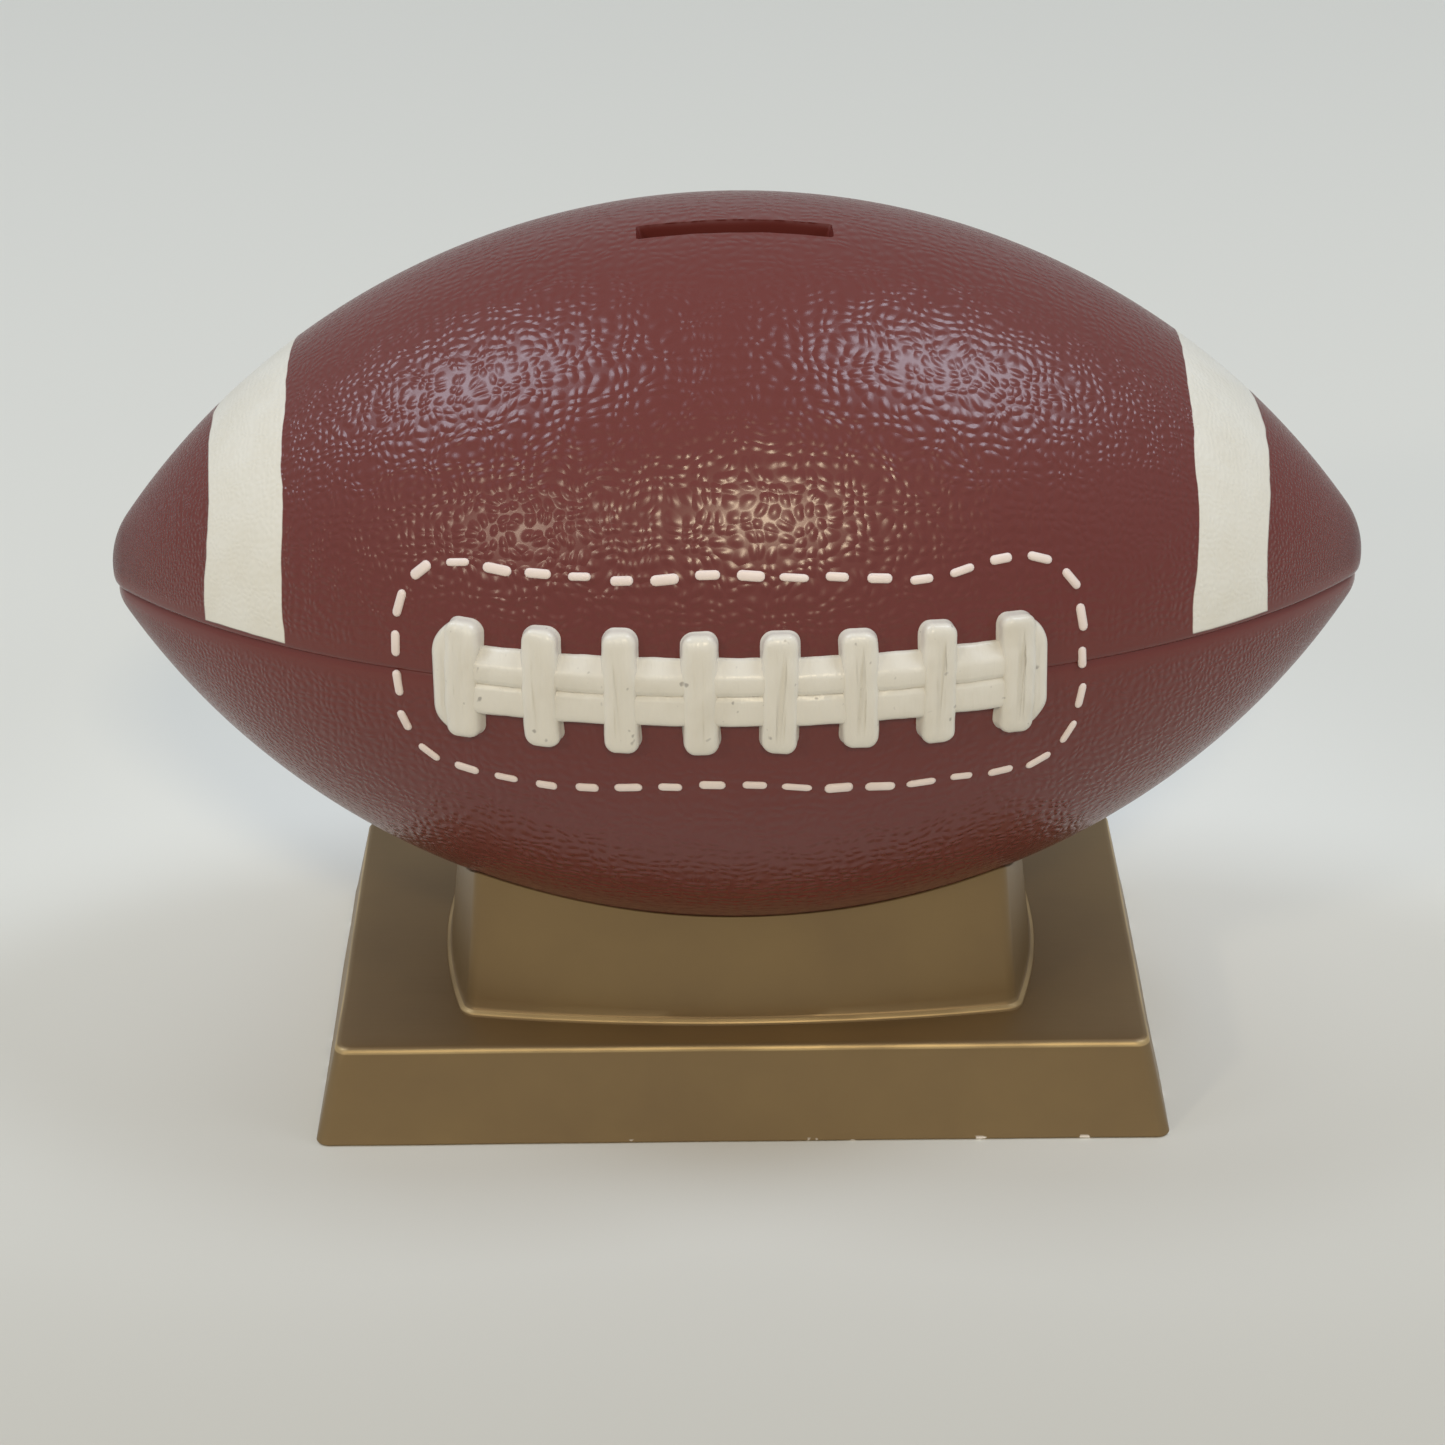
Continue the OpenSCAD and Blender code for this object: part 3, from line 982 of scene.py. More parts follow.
@dataclass
class CoinSlot:
    """Slot for coins, cut straight down through the crown with leaning ends.

    The flare lists the depth below the surface and how much the slot is grown there.
    """

    form: BallForm = field(default_factory=BallForm)
    length: float = 31.0
    width: float = 4.6
    ahead: float = 4.5
    end_lean: float = math.radians(16)
    corner: float = 0.55
    flare: Profile = ((-1.6, 0.35), (-0.1, 0.1), (-0.02, 0.06), (0.08, 0.03),
                      (0.22, 0.0), (0.45, -0.05), (1.0, -0.1), (9.0, -0.1))

    def cutter(self) -> Object:
        """Builds the solid that cuts the slot, flared at the top where glaze rounds it.

        Returns:
            The cutter.
        """
        form, start = self.form, self.flare[0][0]
        rings = []
        for depth, grow in self.flare:
            half = self.length / 2 - (depth - start) * math.tan(self.end_lean) + grow
            plan = rounded_ring(2 * half, self.width + 2 * grow, self.corner + grow,
                                per_side=24, per_corner=4)
            plan = worn(level(plan, depth), amount=0.09, pitch=6.0, seed=4)[:, :2]
            plan[:, 1] -= self.ahead
            rings.append(level(plan, form.axis_z - depth + form.rise(plan[:, 0], plan[:, 1])))
        points, faces = loft(rings[::-1], caps=True)
        return new_object("slot_cutter", points, faces)


@dataclass
class Collar:
    """Short tube under the ball, glued into the throat of the neck."""

    outer_d: float = 43.7
    inner_d: float = 38.1
    foot_z: float = 17.0
    top_z: float = 30.5

    def add_to(self, shell: Object) -> None:
        """Adds the tube to the lower shell and opens it into the ball.

        Args:
            shell: The lower shell.
        """
        for diameter, past, how in ((self.outer_d, (0, 0), "UNION"),
                                    (self.inner_d, (1, 8), "DIFFERENCE")):
            ends = (self.foot_z - past[0], self.top_z + past[1])
            cut(shell, turned("collar", [(diameter / 2, z) for z in ends]), how)


# ---- Laces ------------------------------------------------------------------


# Sections of the moulded relief. A cord's are the distance from the line between the cords
# and the height; the others are the inset from the outline and the height.
CORD_INNER: Profile = ((0.0, 1.9), (0.15, 2.02), (0.4, 2.1), (0.62, 2.24), (0.9, 2.3),
                       (1.7, 2.31))
CORD_UPPER_EDGE: Profile = ((2.5, 2.28), (3.05, 2.16), (3.5, 1.86), (4.1, 1.32),
                            (4.7, 0.82), (5.1, 0.48), (5.28, 0.2))
CORD_LOWER_EDGE: Profile = ((3.4, 2.3), (4.1, 2.24), (4.55, 2.02), (4.82, 1.66),
                            (4.92, 1.2), (5.12, 0.95), (5.28, 0.6))
BAR_EDGE: Profile = ((-0.2, 0.1), (-0.04, 0.4), (0.0, 0.9), (0.05, 1.6), (0.2, 2.1),
                     (0.48, 2.46), (0.9, 2.68), (1.4, 2.79), (2.0, 2.84))
FLANGE_EDGE: Profile = ((0.0, 0.6), (0.08, 1.2), (0.3, 1.7), (0.7, 2.02), (1.2, 2.18),
                        (1.8, 2.3))
STITCH_EDGE: Profile = ((0.0, -0.2), (0.0, 0.1), (0.14, 0.29), (0.34, 0.4))


@dataclass
class Laces:
    """The laced panel: two long cords, eight cross laces and a frame of stitches."""

    form: BallForm = field(default_factory=BallForm)
    bars: int = 8
    pitch: float = 11.65
    bar_w: float = 5.4
    bar_l: float = 18.5
    bar_r: float = 1.8
    flange_w: float = 2.3
    drop: float = 2.8
    root: float = 0.7
    stitches: int = 41
    stitch_l: float = 4.2
    stitch_w: float = 1.45
    frame_w: float = 102.4
    frame_h: float = 33.6
    frame_r: float = 10.0
    frame_wave: float = 0.6

    @property
    def tilt(self) -> float:
        """Angle by which the laces dip below the ball's axis."""
        return self.drop / self.form.girth_r

    @property
    def span(self) -> float:
        """Distance between the middles of the end laces."""
        return (self.bars - 1) * self.pitch

    def cord(self, side: Side) -> Object:
        """Sweeps one long cord along the ball's side arc.

        Args:
            side: Whether the cord is above or below the lace line.

        Returns:
            The cord.
        """
        form = self.form
        top = CORD_INNER + (CORD_UPPER_EDGE if side is Side.UPPER else CORD_LOWER_EDGE)
        section = np.array([(0.0, -self.root), *top, (top[-1][0] + 0.02, -self.root)])
        rng = np.random.default_rng(11 + side.value)
        reach = math.asin(self.span / 2 / form.arc_r)
        rings = []
        steps = 150
        # Slow and quick waves along the run make the outer edge and the top uneven.
        sway = [np.sin(np.linspace(0, f, steps) + rng.uniform(0, 6)) for f in (13, 31, 57, 90)]
        for k, angle in enumerate(np.linspace(-reach, reach, steps)):
            wide = 1 + 0.014 * sway[0][k] + 0.012 * sway[2][k]
            high = 0.04 * sway[1][k] - 0.04 + 0.03 * sway[3][k]
            v = side.value * section[:, 0] * np.where(section[:, 0] > 2, wide, 1)
            r = form.arc_r + section[:, 1] + np.where(section[:, 1] > 0.5, high, 0)
            rings.append(np.stack([r * math.sin(angle), form.arc_depth - r * math.cos(angle),
                                   v], 1))
        points, faces = loft(rings, caps=True)
        points = worn(form.placed(points, self.tilt), amount=0.03, pitch=3.5,
                      seed=21 + side.value)
        return new_object(f"glazed_cord_{side.name.lower()}", points, faces, 60)

    def wrap(self, plan: np.ndarray, height: float) -> Ring:
        """Bends a flat ring round the ball's girth, with its origin on the surface.

        Args:
            plan: The x and y of each point of the flat ring.
            height: Height of the ring above the surface.

        Returns:
            The ring.
        """
        half = self.form.girth_r
        turn, r = plan[:, 1] / half, half + height
        return np.stack([plan[:, 0], half - r * np.cos(turn), r * np.sin(turn)], 1)

    def bar_shape(self) -> Object:
        """Builds one cross lace as a soft pillow that spreads a little at its foot.

        Returns:
            The lace, with its origin on the ball's surface and its outside towards -Y.
        """
        rings = []
        for inset, height in ((BAR_EDGE[0][0], -self.root), *BAR_EDGE):
            plan = rounded_ring(self.bar_w - 2 * inset, self.bar_l - 2 * inset,
                                max(self.bar_r - 0.8 * inset, 0.3), per_side=16,
                                per_corner=7)
            rings.append(self.wrap(plan, height))
        points, faces = loft(rings, caps=True)
        return new_object("bar_shape", points, faces, 60)

    def flange_shape(self) -> Object:
        """Builds the low flange outside the last cross lace, with two large round corners.

        Returns:
            The flange, placed like the lace and with its round corners towards +X.
        """
        rings = []
        reach = self.bar_w / 2 + self.flange_w
        for inset, height in ((FLANGE_EDGE[0][0], -self.root), *FLANGE_EDGE):
            r = reach - inset
            turn = np.linspace(0, math.pi / 2, 18)
            rise = self.bar_l / 2 - 0.15 - reach
            high = np.stack([r * np.cos(turn), rise + r * np.sin(turn)], 1)
            low = high[::-1] * (1, -1)
            back = np.stack([np.zeros(10), np.linspace(high[-1, 1], low[0, 1], 12)[1:-1]], 1)
            rings.append(self.wrap(np.concatenate([high, back, low]), height))
        points, faces = loft(rings, caps=True)
        return new_object("flange_shape", points, faces, 60)

    def stitch_shape(self) -> Object:
        """Builds one raised stitch, lying along X with its outside towards +Z.

        Returns:
            The stitch.
        """
        rings = []
        for inset, height in STITCH_EDGE:
            a = self.stitch_w / 2 - inset
            b = (self.stitch_l - self.stitch_w) / 2
            end = np.linspace(-math.pi / 2, math.pi / 2, 6)
            half = np.stack([b + a * np.cos(end), a * np.sin(end)], 1)
            rings.append(level(np.concatenate([half, -half]), height))
        points, faces = loft(rings, caps=True)
        return new_object("stitch_shape", points, faces, 60)

    def stitch_path(self) -> Object:
        """Draws the line of the stitches on the ball, with the way outwards at each point.

        Returns:
            A closed chain of edges with the vector attribute "outward".
        """
        plan = rounded_ring(self.frame_w, self.frame_h, self.frame_r, per_side=120,
                            per_corner=24)
        plan[:, 1] += self.frame_wave * np.cos(np.radians(plan[:, 0] * 7))
        plan = worn(level(plan, 0.0), amount=0.45, pitch=18.0, seed=8)[:, :2]
        r = self.form.radius(plan[:, 0])
        points = np.stack([plan[:, 0], -np.sqrt(r ** 2 - plan[:, 1] ** 2), plan[:, 1]], 1)
        lean = np.arcsin(plan[:, 0] / self.form.arc_r)
        turn = np.arcsin(plan[:, 1] / r)
        out = np.stack([np.sin(lean), -np.cos(lean) * np.cos(turn),
                        np.cos(lean) * np.sin(turn)], 1)
        spots = self.form.placed(points, self.tilt)
        out = self.form.placed(points + out, self.tilt) - spots
        mesh = bpy.data.meshes.new("stitch_path")
        count = len(points)
        mesh.from_pydata((spots * MM).tolist(),
                         [(k, (k + 1) % count) for k in range(count)], [])
        attribute = mesh.attributes.new("outward", "FLOAT_VECTOR", "POINT")
        attribute.data.foreach_set("vector", out.astype(np.float32).ravel())
        return in_scene("stitch_path", mesh)

    def cross_laces(self, finish: Material) -> Object:
        """Sets the cross laces and the two flanges along the cords.

        Args:
            finish: The laces' material.

        Returns:
            The laces as one plain mesh.
        """
        bar, flange = self.bar_shape(), self.flange_shape()
        carrier = RowOnArc().build("glazed_cross_laces", {
            "Bar": bar, "Flange": flange, "Count": self.bars, "Pitch": self.pitch * MM,
            "Arc Radius": self.form.arc_r * MM, "Arc Depth": self.form.arc_depth * MM,
            "Height": self.form.axis_z * MM, "Set Back": self.form.set_back * MM,
            "Tilt": self.tilt - self.form.roll, "Seed": 5, "Finish": finish})
        remove(bar, flange)
        uneven = worn(points_of(carrier.data), amount=0.13, pitch=5.0, seed=41)
        carrier.data.vertices.foreach_set("co", (uneven * MM).ravel())
        return carrier

    def stitching(self, finish: Material) -> Object:
        """Sets the stitches along their frame.

        Args:
            finish: The stitches' material.

        Returns:
            The stitches as one plain mesh.
        """
        stitch, path = self.stitch_shape(), self.stitch_path()
        carrier = DashesOnPath().build("raised_stitches", {
            "Path": path, "Dash": stitch, "Count": self.stitches, "Seed": 3,
            "Finish": finish})
        remove(stitch, path)
        return carrier


class Layout:
    """Shapes set out by a Geometry Nodes tree with named inputs."""

    inputs: dict[str, str] = {}

    def shapes(self, graph: Graph, given: Any) -> Node:
        """Adds the nodes that set out the shapes.

        Args:
            graph: The node tree.
            given: The named inputs.

        Returns:
            The node that gives the shapes.
        """
        raise NotImplementedError

    def build(self, name: str, values: dict[str, Any]) -> Object:
        """Makes the tree, sets its inputs on a new object, and takes the result.

        Args:
            name: Name of the object.
            values: A value for each named input.

        Returns:
            The object, with a plain mesh.
        """
        tree = bpy.data.node_groups.new(name, "GeometryNodeTree")
        graph = Graph(tree)
        for label, kind in self.inputs.items():
            tree.interface.new_socket(label, in_out="INPUT", socket_type="NodeSocket" + kind)
        tree.interface.new_socket("Geometry", in_out="OUTPUT",
                                  socket_type="NodeSocketGeometry")
        given = graph.add("NodeGroupInput").outputs
        solid = graph.add("GeometryNodeRealizeInstances", Geometry=self.shapes(graph, given))
        dressed = graph.add("GeometryNodeSetMaterial", Geometry=solid,
                            Material=given["Finish"])
        graph.add("NodeGroupOutput", Geometry=dressed)
        carrier = in_scene(name, bpy.data.meshes.new(name))
        modifier = carrier.modifiers.new("layout", "NODES")
        modifier.node_group = tree
        for item in tree.interface.items_tree:
            if item.in_out == "INPUT":
                modifier[item.identifier] = values[item.name]
        return baked(carrier)


class RowOnArc(Layout):
    """Places equal shapes in a row along an arc, and one more shape past each end."""

    inputs = {"Bar": "Object", "Flange": "Object", "Count": "Int", "Pitch": "Float",
              "Arc Radius": "Float", "Arc Depth": "Float", "Height": "Float",
              "Set Back": "Float", "Tilt": "Float", "Seed": "Int", "Finish": "Material"}

    def _row(self, graph: Graph, given: Any, count: Any, step: Any, shape: str,
             facing_out: bool = False) -> Node:
        """Sets one shape at each of some points along the arc.

        Args:
            graph: The node tree.
            given: The named inputs.
            count: How many points.
            step: Distance between two points, along X.
            shape: Name of the input with the shape's object.
            facing_out: Turns the shapes of the first half round, to face their end.

        Returns:
            The node that gives the instances.
        """
        index = graph.add("GeometryNodeInputIndex")
        gaps = graph.add(MATH, SUBTRACT, i0=count, i1=1.0)
        middle = graph.add(MATH, MULTIPLY, i0=gaps, i1=0.5)
        order = graph.add(MATH, SUBTRACT, i0=index, i1=middle)
        x = graph.add(MATH, MULTIPLY, i0=order, i1=step)
        sine = graph.add(MATH, {"operation": "DIVIDE"}, i0=x, i1=given["Arc Radius"])
        angle = graph.add(MATH, {"operation": "ARCSINE"}, i0=sine)
        cosine = graph.add(MATH, {"operation": "COSINE"}, i0=angle)
        back = graph.add(MATH, MULTIPLY, i0=cosine, i1=given["Arc Radius"])
        y = graph.add(MATH, SUBTRACT, i0=given["Arc Depth"], i1=back)
        about: Any = 0.0
        if facing_out:
            left = graph.add(MATH, {"operation": "LESS_THAN"}, i0=x, i1=0.0)
            about = graph.add(MATH, MULTIPLY, i0=left, i1=math.pi)
        turn = graph.add("ShaderNodeCombineXYZ", Y=about, Z=angle)
        wobble = graph.add("FunctionNodeRandomValue", VECTORS, i0=(-0.004, -0.02, -0.006),
                           i1=(0.004, 0.02, 0.006), Seed=given["Seed"])
        size = graph.add("FunctionNodeRandomValue", VECTORS, i0=(0.97, 0.97, 0.975),
                         i1=(1.03, 1.0, 1.01), Seed=given["Seed"])
        place = graph.add("ShaderNodeCombineXYZ", X=x, Y=y)
        points = graph.add("GeometryNodePoints", Count=count, Position=place)
        source = graph.add("GeometryNodeObjectInfo", Object=given[shape])
        return graph.add(
            "GeometryNodeInstanceOnPoints", Points=points, Scale=size,
            Instance=source.outputs["Geometry"],
            Rotation=graph.add("ShaderNodeVectorMath", ADD, i0=turn, i1=wobble))

    def shapes(self, graph: Graph, given: Any) -> Node:
        """Sets the row and the two end shapes, and lifts them to their place.

        Args:
            graph: The node tree.
            given: The named inputs.

        Returns:
            The node that gives the shapes.
        """
        count, pitch = given["Count"], given["Pitch"]
        gaps = graph.add(MATH, SUBTRACT, i0=count, i1=1.0)
        span = graph.add(MATH, MULTIPLY, i0=gaps, i1=pitch)
        both = graph.add("GeometryNodeJoinGeometry")
        for row in (self._row(graph, given, count, pitch, "Bar"),
                    self._row(graph, given, 2, span, "Flange", facing_out=True)):
            graph.tree.links.new(row.outputs[0], both.inputs[0])
        lift = graph.add("ShaderNodeCombineXYZ", Y=given["Set Back"], Z=given["Height"])
        dip = graph.add("ShaderNodeCombineXYZ", X=given["Tilt"])
        return graph.add("GeometryNodeTransform", Geometry=both, Translation=lift,
                         Rotation=dip)


class DashesOnPath(Layout):
    """Places equal dashes at even steps round a closed path, standing on its surface."""

    inputs = {"Path": "Object", "Dash": "Object", "Count": "Int", "Seed": "Int",
              "Finish": "Material"}

    def shapes(self, graph: Graph, given: Any) -> Node:
        """Sets a dash at each step, along the path and upright on the surface.

        Args:
            graph: The node tree.
            given: The named inputs.

        Returns:
            The node that gives the shapes.
        """
        path, dash = (graph.add("GeometryNodeObjectInfo", Object=given[label])
                      for label in ("Path", "Dash"))
        line = graph.add("GeometryNodeMeshToCurve", Mesh=path.outputs["Geometry"])
        even = graph.add("GeometryNodeResampleCurve", Curve=line, Count=given["Count"])
        outward = graph.add("GeometryNodeInputNamedAttribute", VECTORS, Name="outward")
        along = graph.add("GeometryNodeInputTangent")
        stand = graph.add("FunctionNodeAxesToRotation",
                          {"primary_axis": "Z", "secondary_axis": "X"}, i0=outward, i1=along)
        sway = graph.add("FunctionNodeRandomValue", VECTORS, i0=(0.0, 0.0, -0.09),
                         i1=(0.0, 0.0, 0.09), Seed=given["Seed"])
        turn = graph.add("FunctionNodeRotateRotation", {"rotation_space": "LOCAL"}, i0=stand,
                         i1=sway)
        size = graph.add("FunctionNodeRandomValue", VECTORS, i0=(0.78, 0.8, 0.6),
                         i1=(1.12, 1.15, 1.0), Seed=given["Seed"])
        return graph.add("GeometryNodeInstanceOnPoints", Points=even, Rotation=turn,
                         Instance=dash.outputs["Geometry"], Scale=size)


# ---- Pedestal ---------------------------------------------------------------


@dataclass
class Neck:
    """The tapered neck with bowed sides, whose top is a saddle for the ball.

    The lip's height is a first guess, from which each point is drawn in to the ball.
    """

    form: BallForm = field(default_factory=BallForm)
    width: float = 96.4
    depth: float = 65.0
    bow: float = 4.0
    slope: float = math.radians(6)
    corner: float = 2.5
    wall: float = 4.5
    saddle: float = 4.0
    bead: float = 0.8
    throat_d: float = 44.0
    foot_z: float = 16.0
    lip_z: float = 35.0
    spigot: float = 3.0
    gap: float = 0.15

    def plan(self, grown: float) -> np.ndarray:
        """Plan of the neck, grown outwards by a distance."""
        return rounded_ring(self.width + 2 * grown, self.depth + 2 * grown,
                            max(self.corner + grown, 0.6), self.bow)

    def wall_ring(self, grown: float, part: float, under: float = 0.0) -> Ring:
        """A ring part of the way up the leaning wall, to where it meets the ball.

        Args:
            grown: Distance of the wall outside the plan at its foot.
            part: 0 at the foot and 1 where it meets the ball.
            under: Distance below the ball's surface at which the wall ends.

        Returns:
            The ring.
        """
        foot = self.plan(grown)
        away = foot / np.linalg.norm(foot, axis=1, keepdims=True)
        top = np.full(len(foot), self.lip_z)
        for _ in range(40):
            lean = (top - self.foot_z) * math.tan(self.slope)
            x, y = (foot - away * lean[:, None]).T
            top = 0.5 * top + 0.5 * (self.form.axis_z - under - self.form.rise(x, y))
        z = self.foot_z + part * (top - self.foot_z)
        lean = (z - self.foot_z) * math.tan(self.slope)
        return level(foot - away * lean[:, None], z)

    def saddle_ring(self, edge: Ring, part: float, under: float) -> Ring:
        """A ring on the saddle, between the lip and the throat.

        Args:
            edge: The ring at the lip.
            part: 0 at the lip and 1 at the throat.
            under: Distance of the surface below the ball's.

        Returns:
            The ring.
        """
        inner = round_plan(edge[:, :2], self.throat_d / 2)
        plan = edge[:, :2] * (1 - part) + inner * part
        grown = replace(self.form, length=self.form.length + 2 * under,
                        diameter=self.form.diameter + 2 * under,
                        tip_r=self.form.tip_r + under)
        return level(plan, grown.axis_z - grown.rise(plan[:, 0], plan[:, 1]))

    def build(self) -> Object:
        """Builds the neck as one closed casting.

        Returns:
            The neck.
        """
        z = self.foot_z
        # The bead first, each ring as its reach past the wall and its rise above the foot.
        rings = [level(self.plan(grown), z + rise) for grown, rise in (
            (self.bead, 0.0), (self.bead * 0.93, 0.3), (self.bead * 0.7, 0.58),
            (self.bead * 0.3, 0.76), (0.06, 0.95))]
        rings += [self.wall_ring(0.0, p) for p in np.linspace(0.06, 0.96, 15)]
        rings += [self.wall_ring(-0.04, 0.985), self.wall_ring(-0.22, 0.997)]
        lip = self.wall_ring(0.0, 1.0)
        rings += [self.saddle_ring(lip, p, 0.02) for p in np.linspace(0.03, 1, 16)]
        inside = self.wall_ring(-self.wall, 1.0, self.saddle)
        rings += [self.saddle_ring(inside, p, self.saddle) for p in np.linspace(1, 0, 12)]
        rings += [self.wall_ring(-self.wall, p, self.saddle) for p in (0.6, 0.3)]
        spigot = self.plan(-self.wall / 2 - self.gap)
        rings += [level(self.plan(-self.wall), z - self.spigot),
                  level(spigot, z - self.spigot), level(spigot, z)]
        rings = [worn(ring, amount=0.05, pitch=30.0, seed=31) for ring in rings]
        points, faces = loft(rings, closed_on_itself=True)
        return new_object("painted_neck", points, faces, 35)


@dataclass
class Plinth:
    """The hollow plinth: flared sides, a softened top edge and a recessed floor."""

    width: float = 130.0
    depth: float = 79.0
    height: float = 16.0
    flare: float = 3.3
    corner: float = 2.0
    edge: float = 1.2
    foot_r: float = 0.4
    wall: float = 4.5
    floor_z: float = 2.6
    floor_t: float = 3.6
    rim: float = 8.0
    outlet_d: float = 33.0

    def plan(self, grown: float, radius: float) -> np.ndarray:
        """Plan of the plinth, grown outwards by a distance."""
        return rounded_ring(self.width + 2 * grown, self.depth + 2 * grown, radius)

    def build(self, neck: Neck) -> Object:
        """Builds the plinth as one closed casting, open under the neck.

        Args:
            neck: The neck that stands on it.

        Returns:
            The plinth.
        """
        rings = []
        for z in (0.0, 0.12, self.foot_r):
            inset = self.foot_r - math.sqrt(max(self.foot_r ** 2 - (self.foot_r - z) ** 2, 0.0))
            rings.append(level(self.plan(self.flare - inset, self.corner), z))
        side_top = self.height - self.edge
        for z in np.linspace(self.foot_r, side_top, 9)[1:]:
            grown = self.flare * (1 - z / side_top)
            rings.append(level(self.plan(grown, self.corner), z))
        for turn in np.linspace(0, math.pi / 2, 8)[1:]:
            inset = self.edge * (1 - math.cos(turn))
            rings.append(level(self.plan(-inset, self.corner + 0.4 - inset * 0.3),
                               side_top + self.edge * math.sin(turn)))
        floor_top = self.floor_z + self.floor_t
        hole = neck.plan(-neck.wall / 2)
        cavity = self.plan(-self.wall, self.corner)
        recess = self.plan(-self.rim, 2 * self.corner)
        outlet = round_plan(recess, self.outlet_d / 2)
        rings += [level(self.plan(-p, self.corner), self.height) for p in (4.0, 8.0)]
        outside = len(rings)
        rings += [level(hole, self.height), level(hole, self.height - self.wall),
                  level(cavity, self.height - self.wall), level(cavity, floor_top),
                  level(outlet, floor_top), level(outlet, self.floor_z),
                  level(recess, self.floor_z), level(recess, 0.0)]
        rings = [*(level(worn(ring, amount=0.06, pitch=34.0, seed=17)[:, :2], ring[:, 2])
                   for ring in rings[:outside]), *rings[outside:]]
        points, faces = loft(rings, closed_on_itself=True)
        return new_object("painted_plinth", points, faces, 35)


@dataclass
class Stopper:
    """Rubber plug that closes the outlet, with a dished face to pull it by."""

    flange_d: float = 39.0
    flange_t: float = 1.5
    plug_d: float = 32.9
    length: float = 5.4
    seat_z: float = 2.6
    dish: float = 0.6

    def build(self) -> Object:
        """Turns the stopper's outline round its axis.

        Returns:
            The stopper.
        """
        r, p = self.flange_d / 2, self.plug_d / 2
        low, top = self.seat_z - self.flange_t, self.seat_z + self.length
        outline = [(0.4, low + self.dish), (p * 0.5, low + self.dish * 0.75),
                   (p - 1.2, low + 0.06), (p - 0.9, low), (r - 0.6, low), (r - 0.2, low + 0.12),
                   (r, low + 0.45), (r, self.seat_z), (p, self.seat_z), (p, top - 0.8),
                   (p - 0.25, top - 0.25), (p - 0.8, top), (0.4, top)]
        return turned("rubber_stopper", outline)


# ---- Stage ------------------------------------------------------------------


@dataclass(frozen=True)
class Softbox:
    """One rectangular lamp that faces the object.

    A lamp for shape is seen by matt surfaces, and a lamp for gloss by shiny ones.
    """

    name: str
    place: Spot
    size: tuple[float, float]
    power: float
    colour: str = "#ffffff"
    shapes: bool = True
    glints: bool = True

    def build(self) -> None:
        """Adds the lamp to the scene."""
        lamp = bpy.data.lights.new(self.name, "AREA")
        lamp.shape = "RECTANGLE"
        lamp.size, lamp.size_y = self.size
        lamp.energy = self.power
        lamp.color = linear(self.colour)[:3]
        obj = in_scene(self.name, lamp)
        obj.location = self.place
        obj.visible_diffuse, obj.visible_glossy = self.shapes, self.glints
        way = Vector(self.place) - Vector((0.0, 0.0, 0.1))
        obj.rotation_euler = way.to_track_quat("Z", "Y").to_euler()


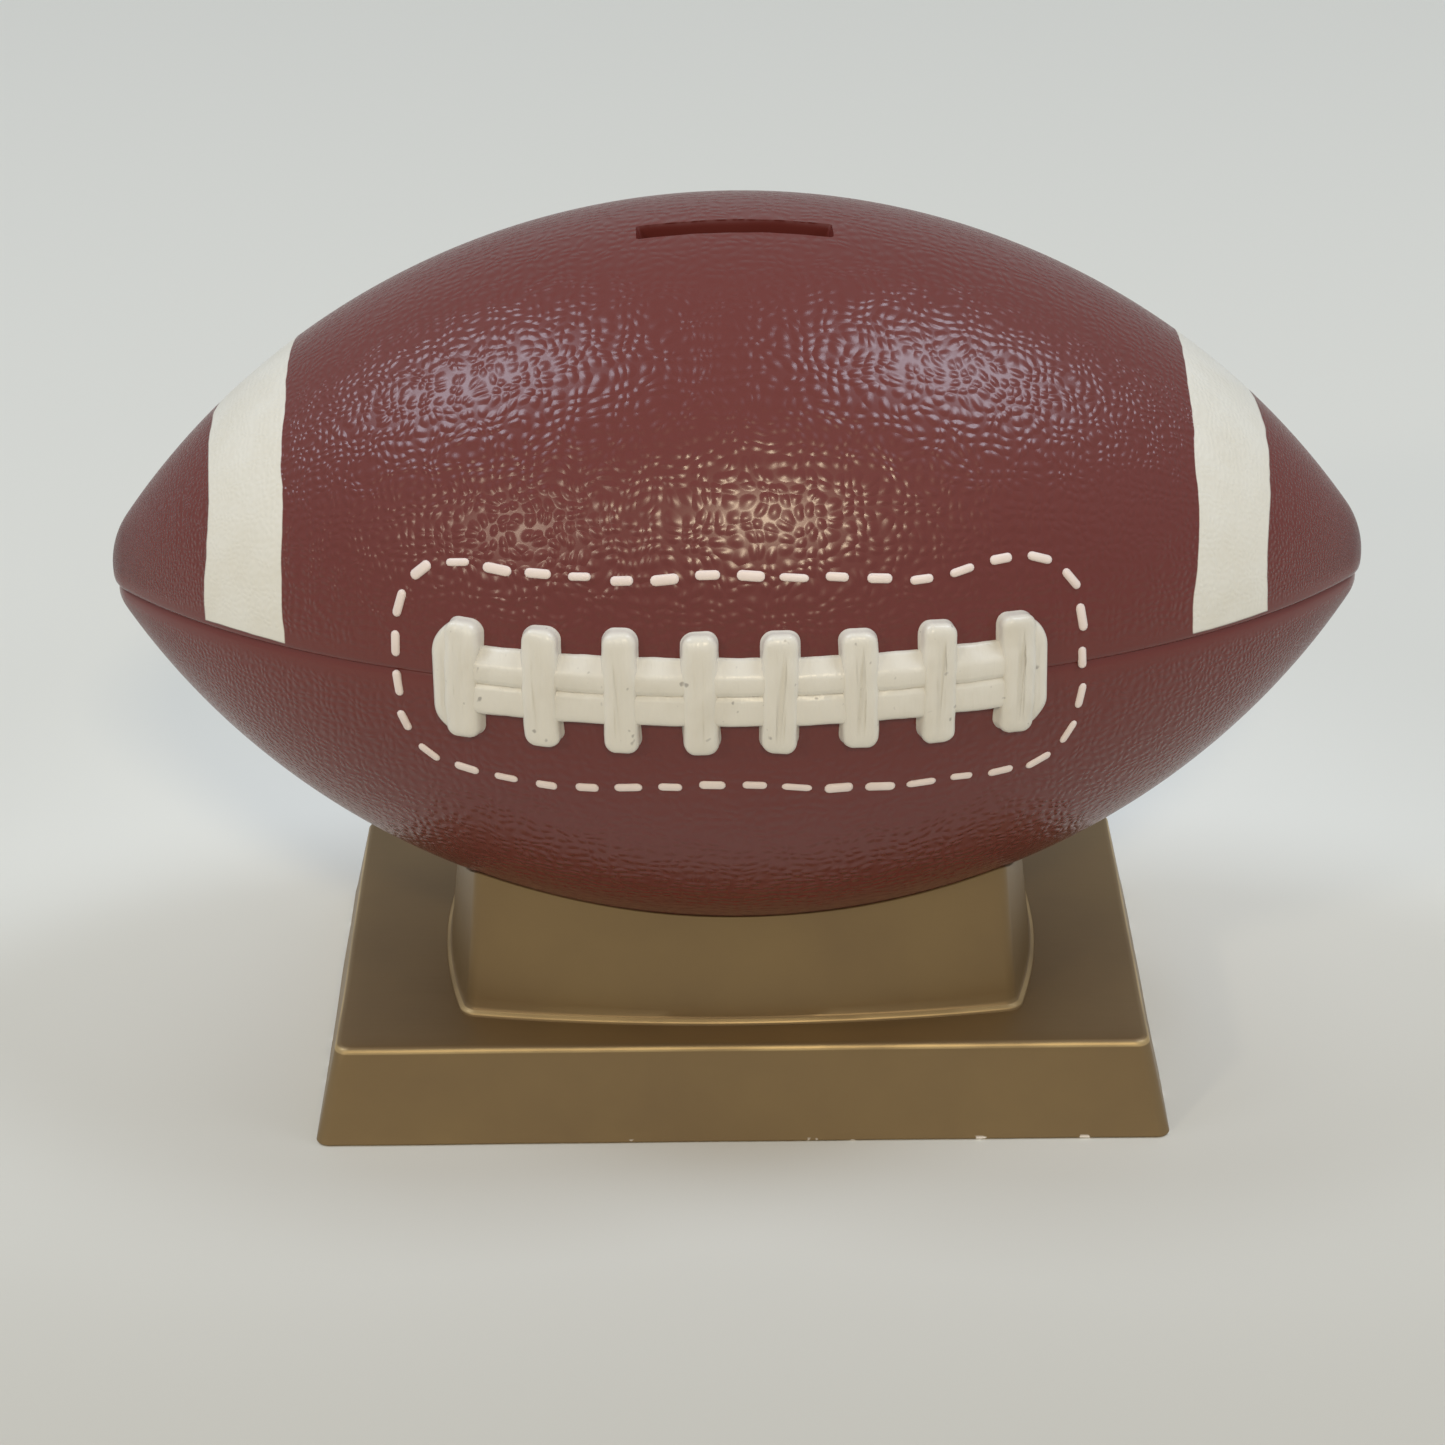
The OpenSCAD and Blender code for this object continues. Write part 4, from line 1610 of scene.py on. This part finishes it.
@dataclass
class Studio:
    """A pale table under soft daylight, and the camera.

    The table's colour holds painted light: a painted pool of light makes it palest near the
    base, it is darker far from it, and painted shade makes it darkest in front. The blends give
    the distances from the base, and along Y, over which these painted shades change.
    """

    eye: Spot = (-0.0026, -0.5869, 0.3463)
    pitch: float = math.radians(26.5)
    roll: float = math.radians(0.6)
    lens: float = 100.0
    # The near colour is a painted pool of light, and the front colour is painted shade.
    near: str = "#ecece5"
    far: str = "#d8d7cf"
    front: str = "#c1beb4"
    light_pool_blend: tuple[float, float] = (0.07, 0.2)
    front_shade_blend: tuple[float, float] = (-0.14, 0.05)
    sky: str = "#e7e9ea"
    daylight: float = 0.52

    def build(self) -> None:
        """Adds the camera, the table, the sky and the lamps."""
        self._camera()
        self._table()
        self._sky()
        for lamp in (
            Softbox("window left", (-1.09, 0.12, 1.70), (0.55, 0.8), 10.2, "#e2eeff"),
            Softbox("window right", (0.96, 0.05, 1.80), (0.55, 0.85), 11.8, "#e2eeff"),
            Softbox("fill left", (-1.5, -0.5, 0.9), (0.8, 0.6), 2.5, "#f4f7ff", glints=False),
            Softbox("fill right", (1.5, -0.5, 0.9), (0.8, 0.6), 3.5, "#f4f7ff", glints=False),
            Softbox("room lamp", (0.16, -1.56, 1.18), (0.26, 0.11), 8.5, "#ffeecb"),
            Softbox("far lamp", (-1.06, -1.31, 0.98), (0.2, 0.13), 3.6, "#fff0d4"),
        ):
            lamp.build()

    def _camera(self) -> None:
        """Adds the camera, which looks down at the front."""
        camera = bpy.data.cameras.new("camera")
        camera.lens, camera.sensor_width, camera.sensor_height = self.lens, 36.0, 36.0
        camera.clip_start = 0.05
        obj = in_scene("camera", camera)
        look = Vector((0.0, math.cos(self.pitch), -math.sin(self.pitch)))
        right = Vector((1.0, 0.0, 0.0))
        up = right.cross(look)
        rolled = Matrix.Rotation(self.roll, 4, look)
        right, up = rolled @ right, rolled @ up
        frame_of = Matrix((right, up, -look)).transposed().to_4x4()
        obj.matrix_world = Matrix.Translation(self.eye) @ frame_of
        bpy.context.scene.camera = obj

    def _table(self) -> None:
        """Adds the table, with painted light near the base and painted shade in front."""
        mesh = bpy.data.meshes.new("table")
        mesh.from_pydata([(-4, -3, 0), (4, -3, 0), (4, 5, 0), (-4, 5, 0)], [], [(0, 1, 2, 3)])
        coat = Coat("matte pale table")
        away = coat.add("ShaderNodeVectorMath", {"operation": "LENGTH"}, i0=coat.place)
        around = coat.add(RANGE, SOFT, Value=away, From_Min=self.light_pool_blend[0],
                          From_Max=self.light_pool_blend[1])
        depth = coat.add("ShaderNodeSeparateXYZ", Vector=coat.place).outputs["Y"]
        behind = coat.add(RANGE, SOFT, Value=depth, From_Min=self.front_shade_blend[0],
                          From_Max=self.front_shade_blend[1])
        # Painted light near the base, then painted shade towards the front.
        paper = coat.add(MIX, COLOURS, i0=around, i6=linear(self.near), i7=linear(self.far))
        paper = coat.add(MIX, COLOURS, i0=behind, i6=linear(self.front), i7=paper)
        mesh.materials.append(coat.finish(paper, 0.85))
        table = in_scene("table", mesh)

    def _sky(self) -> None:
        """Adds even daylight from all sides."""
        world = bpy.data.worlds.new("daylight")
        world.use_nodes = True
        graph = Graph(world.node_tree)
        sky = graph.add("ShaderNodeBackground", Color=linear(self.sky), Strength=self.daylight)
        graph.add("ShaderNodeOutputWorld", Surface=sky)
        bpy.context.scene.world = world
        bpy.context.scene.view_settings.view_transform = "Standard"


# ---- Assembly ---------------------------------------------------------------


@dataclass
class CoinBank:
    """The whole bank: its pieces, their finishes and the bodies that they ride on."""

    form: BallForm = field(default_factory=BallForm)
    grain: GlazedLeatherGrain = GlazedLeatherGrain()
    cream: BrushedCream = BrushedCream()
    bronze: BronzePaint = BronzePaint()

    def build(self) -> None:
        """Builds every piece and hands it to the frame."""
        self._ball()
        self._laces()
        self._pedestal()

    def _hand_over(self, obj: Object, finish: Material | None,
                   nodes: Sequence[str], body: str = BODY) -> None:
        """Dresses a piece and declares what it rides on and stands for.

        Args:
            obj: The finished piece.
            finish: Its material, or None if it has one.
            nodes: The CAD nodes that it stands for.
            body: The body that it moves with.
        """
        if finish is not None:
            obj.data.materials.clear()
            obj.data.materials.append(finish)
        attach(obj, body)
        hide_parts(*nodes)
        LOG.info("%s: %d faces", obj.name, len(obj.data.polygons))

    def _ball(self) -> None:
        """Builds the two shells, the slot and the collar."""
        for side in Side:
            shell = Shell(side, self.form)
            obj = shell.build()
            if side is Side.UPPER:
                cut(obj, CoinSlot(self.form).cutter())
            else:
                Collar().add_to(obj)
            shell.map_grain(obj)
            obj.data.set_sharp_from_angle(angle=math.radians(40))
            finish = self.grain.build(striped=side is Side.UPPER)
            self._hand_over(obj, finish, [f"ball_{side.name.lower()}_shell"])

    def _laces(self) -> None:
        """Builds the cords, the cross laces and the stitches."""
        laces = Laces(self.form)
        cream = self.cream.build()
        for side in Side:
            self._hand_over(laces.cord(side), cream,
                            [f"lace_cord_{side.name.lower()}"])
        self._hand_over(laces.cross_laces(cream), None,
                        [f"lace_bar_{k + 1}" for k in range(laces.bars)])
        self._hand_over(laces.stitching(STITCH_PAINT.build()), None,
                        ["lace_stitching"])

    def _pedestal(self) -> None:
        """Builds the neck, the plinth and the stopper."""
        bronze, neck = self.bronze.build(), Neck(self.form)
        self._hand_over(neck.build(), bronze, ["neck"])
        self._hand_over(Plinth().build(neck), bronze, ["plinth"])
        self._hand_over(Stopper().build(), RUBBER.build(), ["stopper"],
                        "plug")


def main() -> None:
    """Builds the bank and its stage."""
    logging.basicConfig(level=logging.INFO, format="%(name)s: %(message)s")
    CoinBank().build()
    Studio().build()


if __name__ == "__main__":
    main()
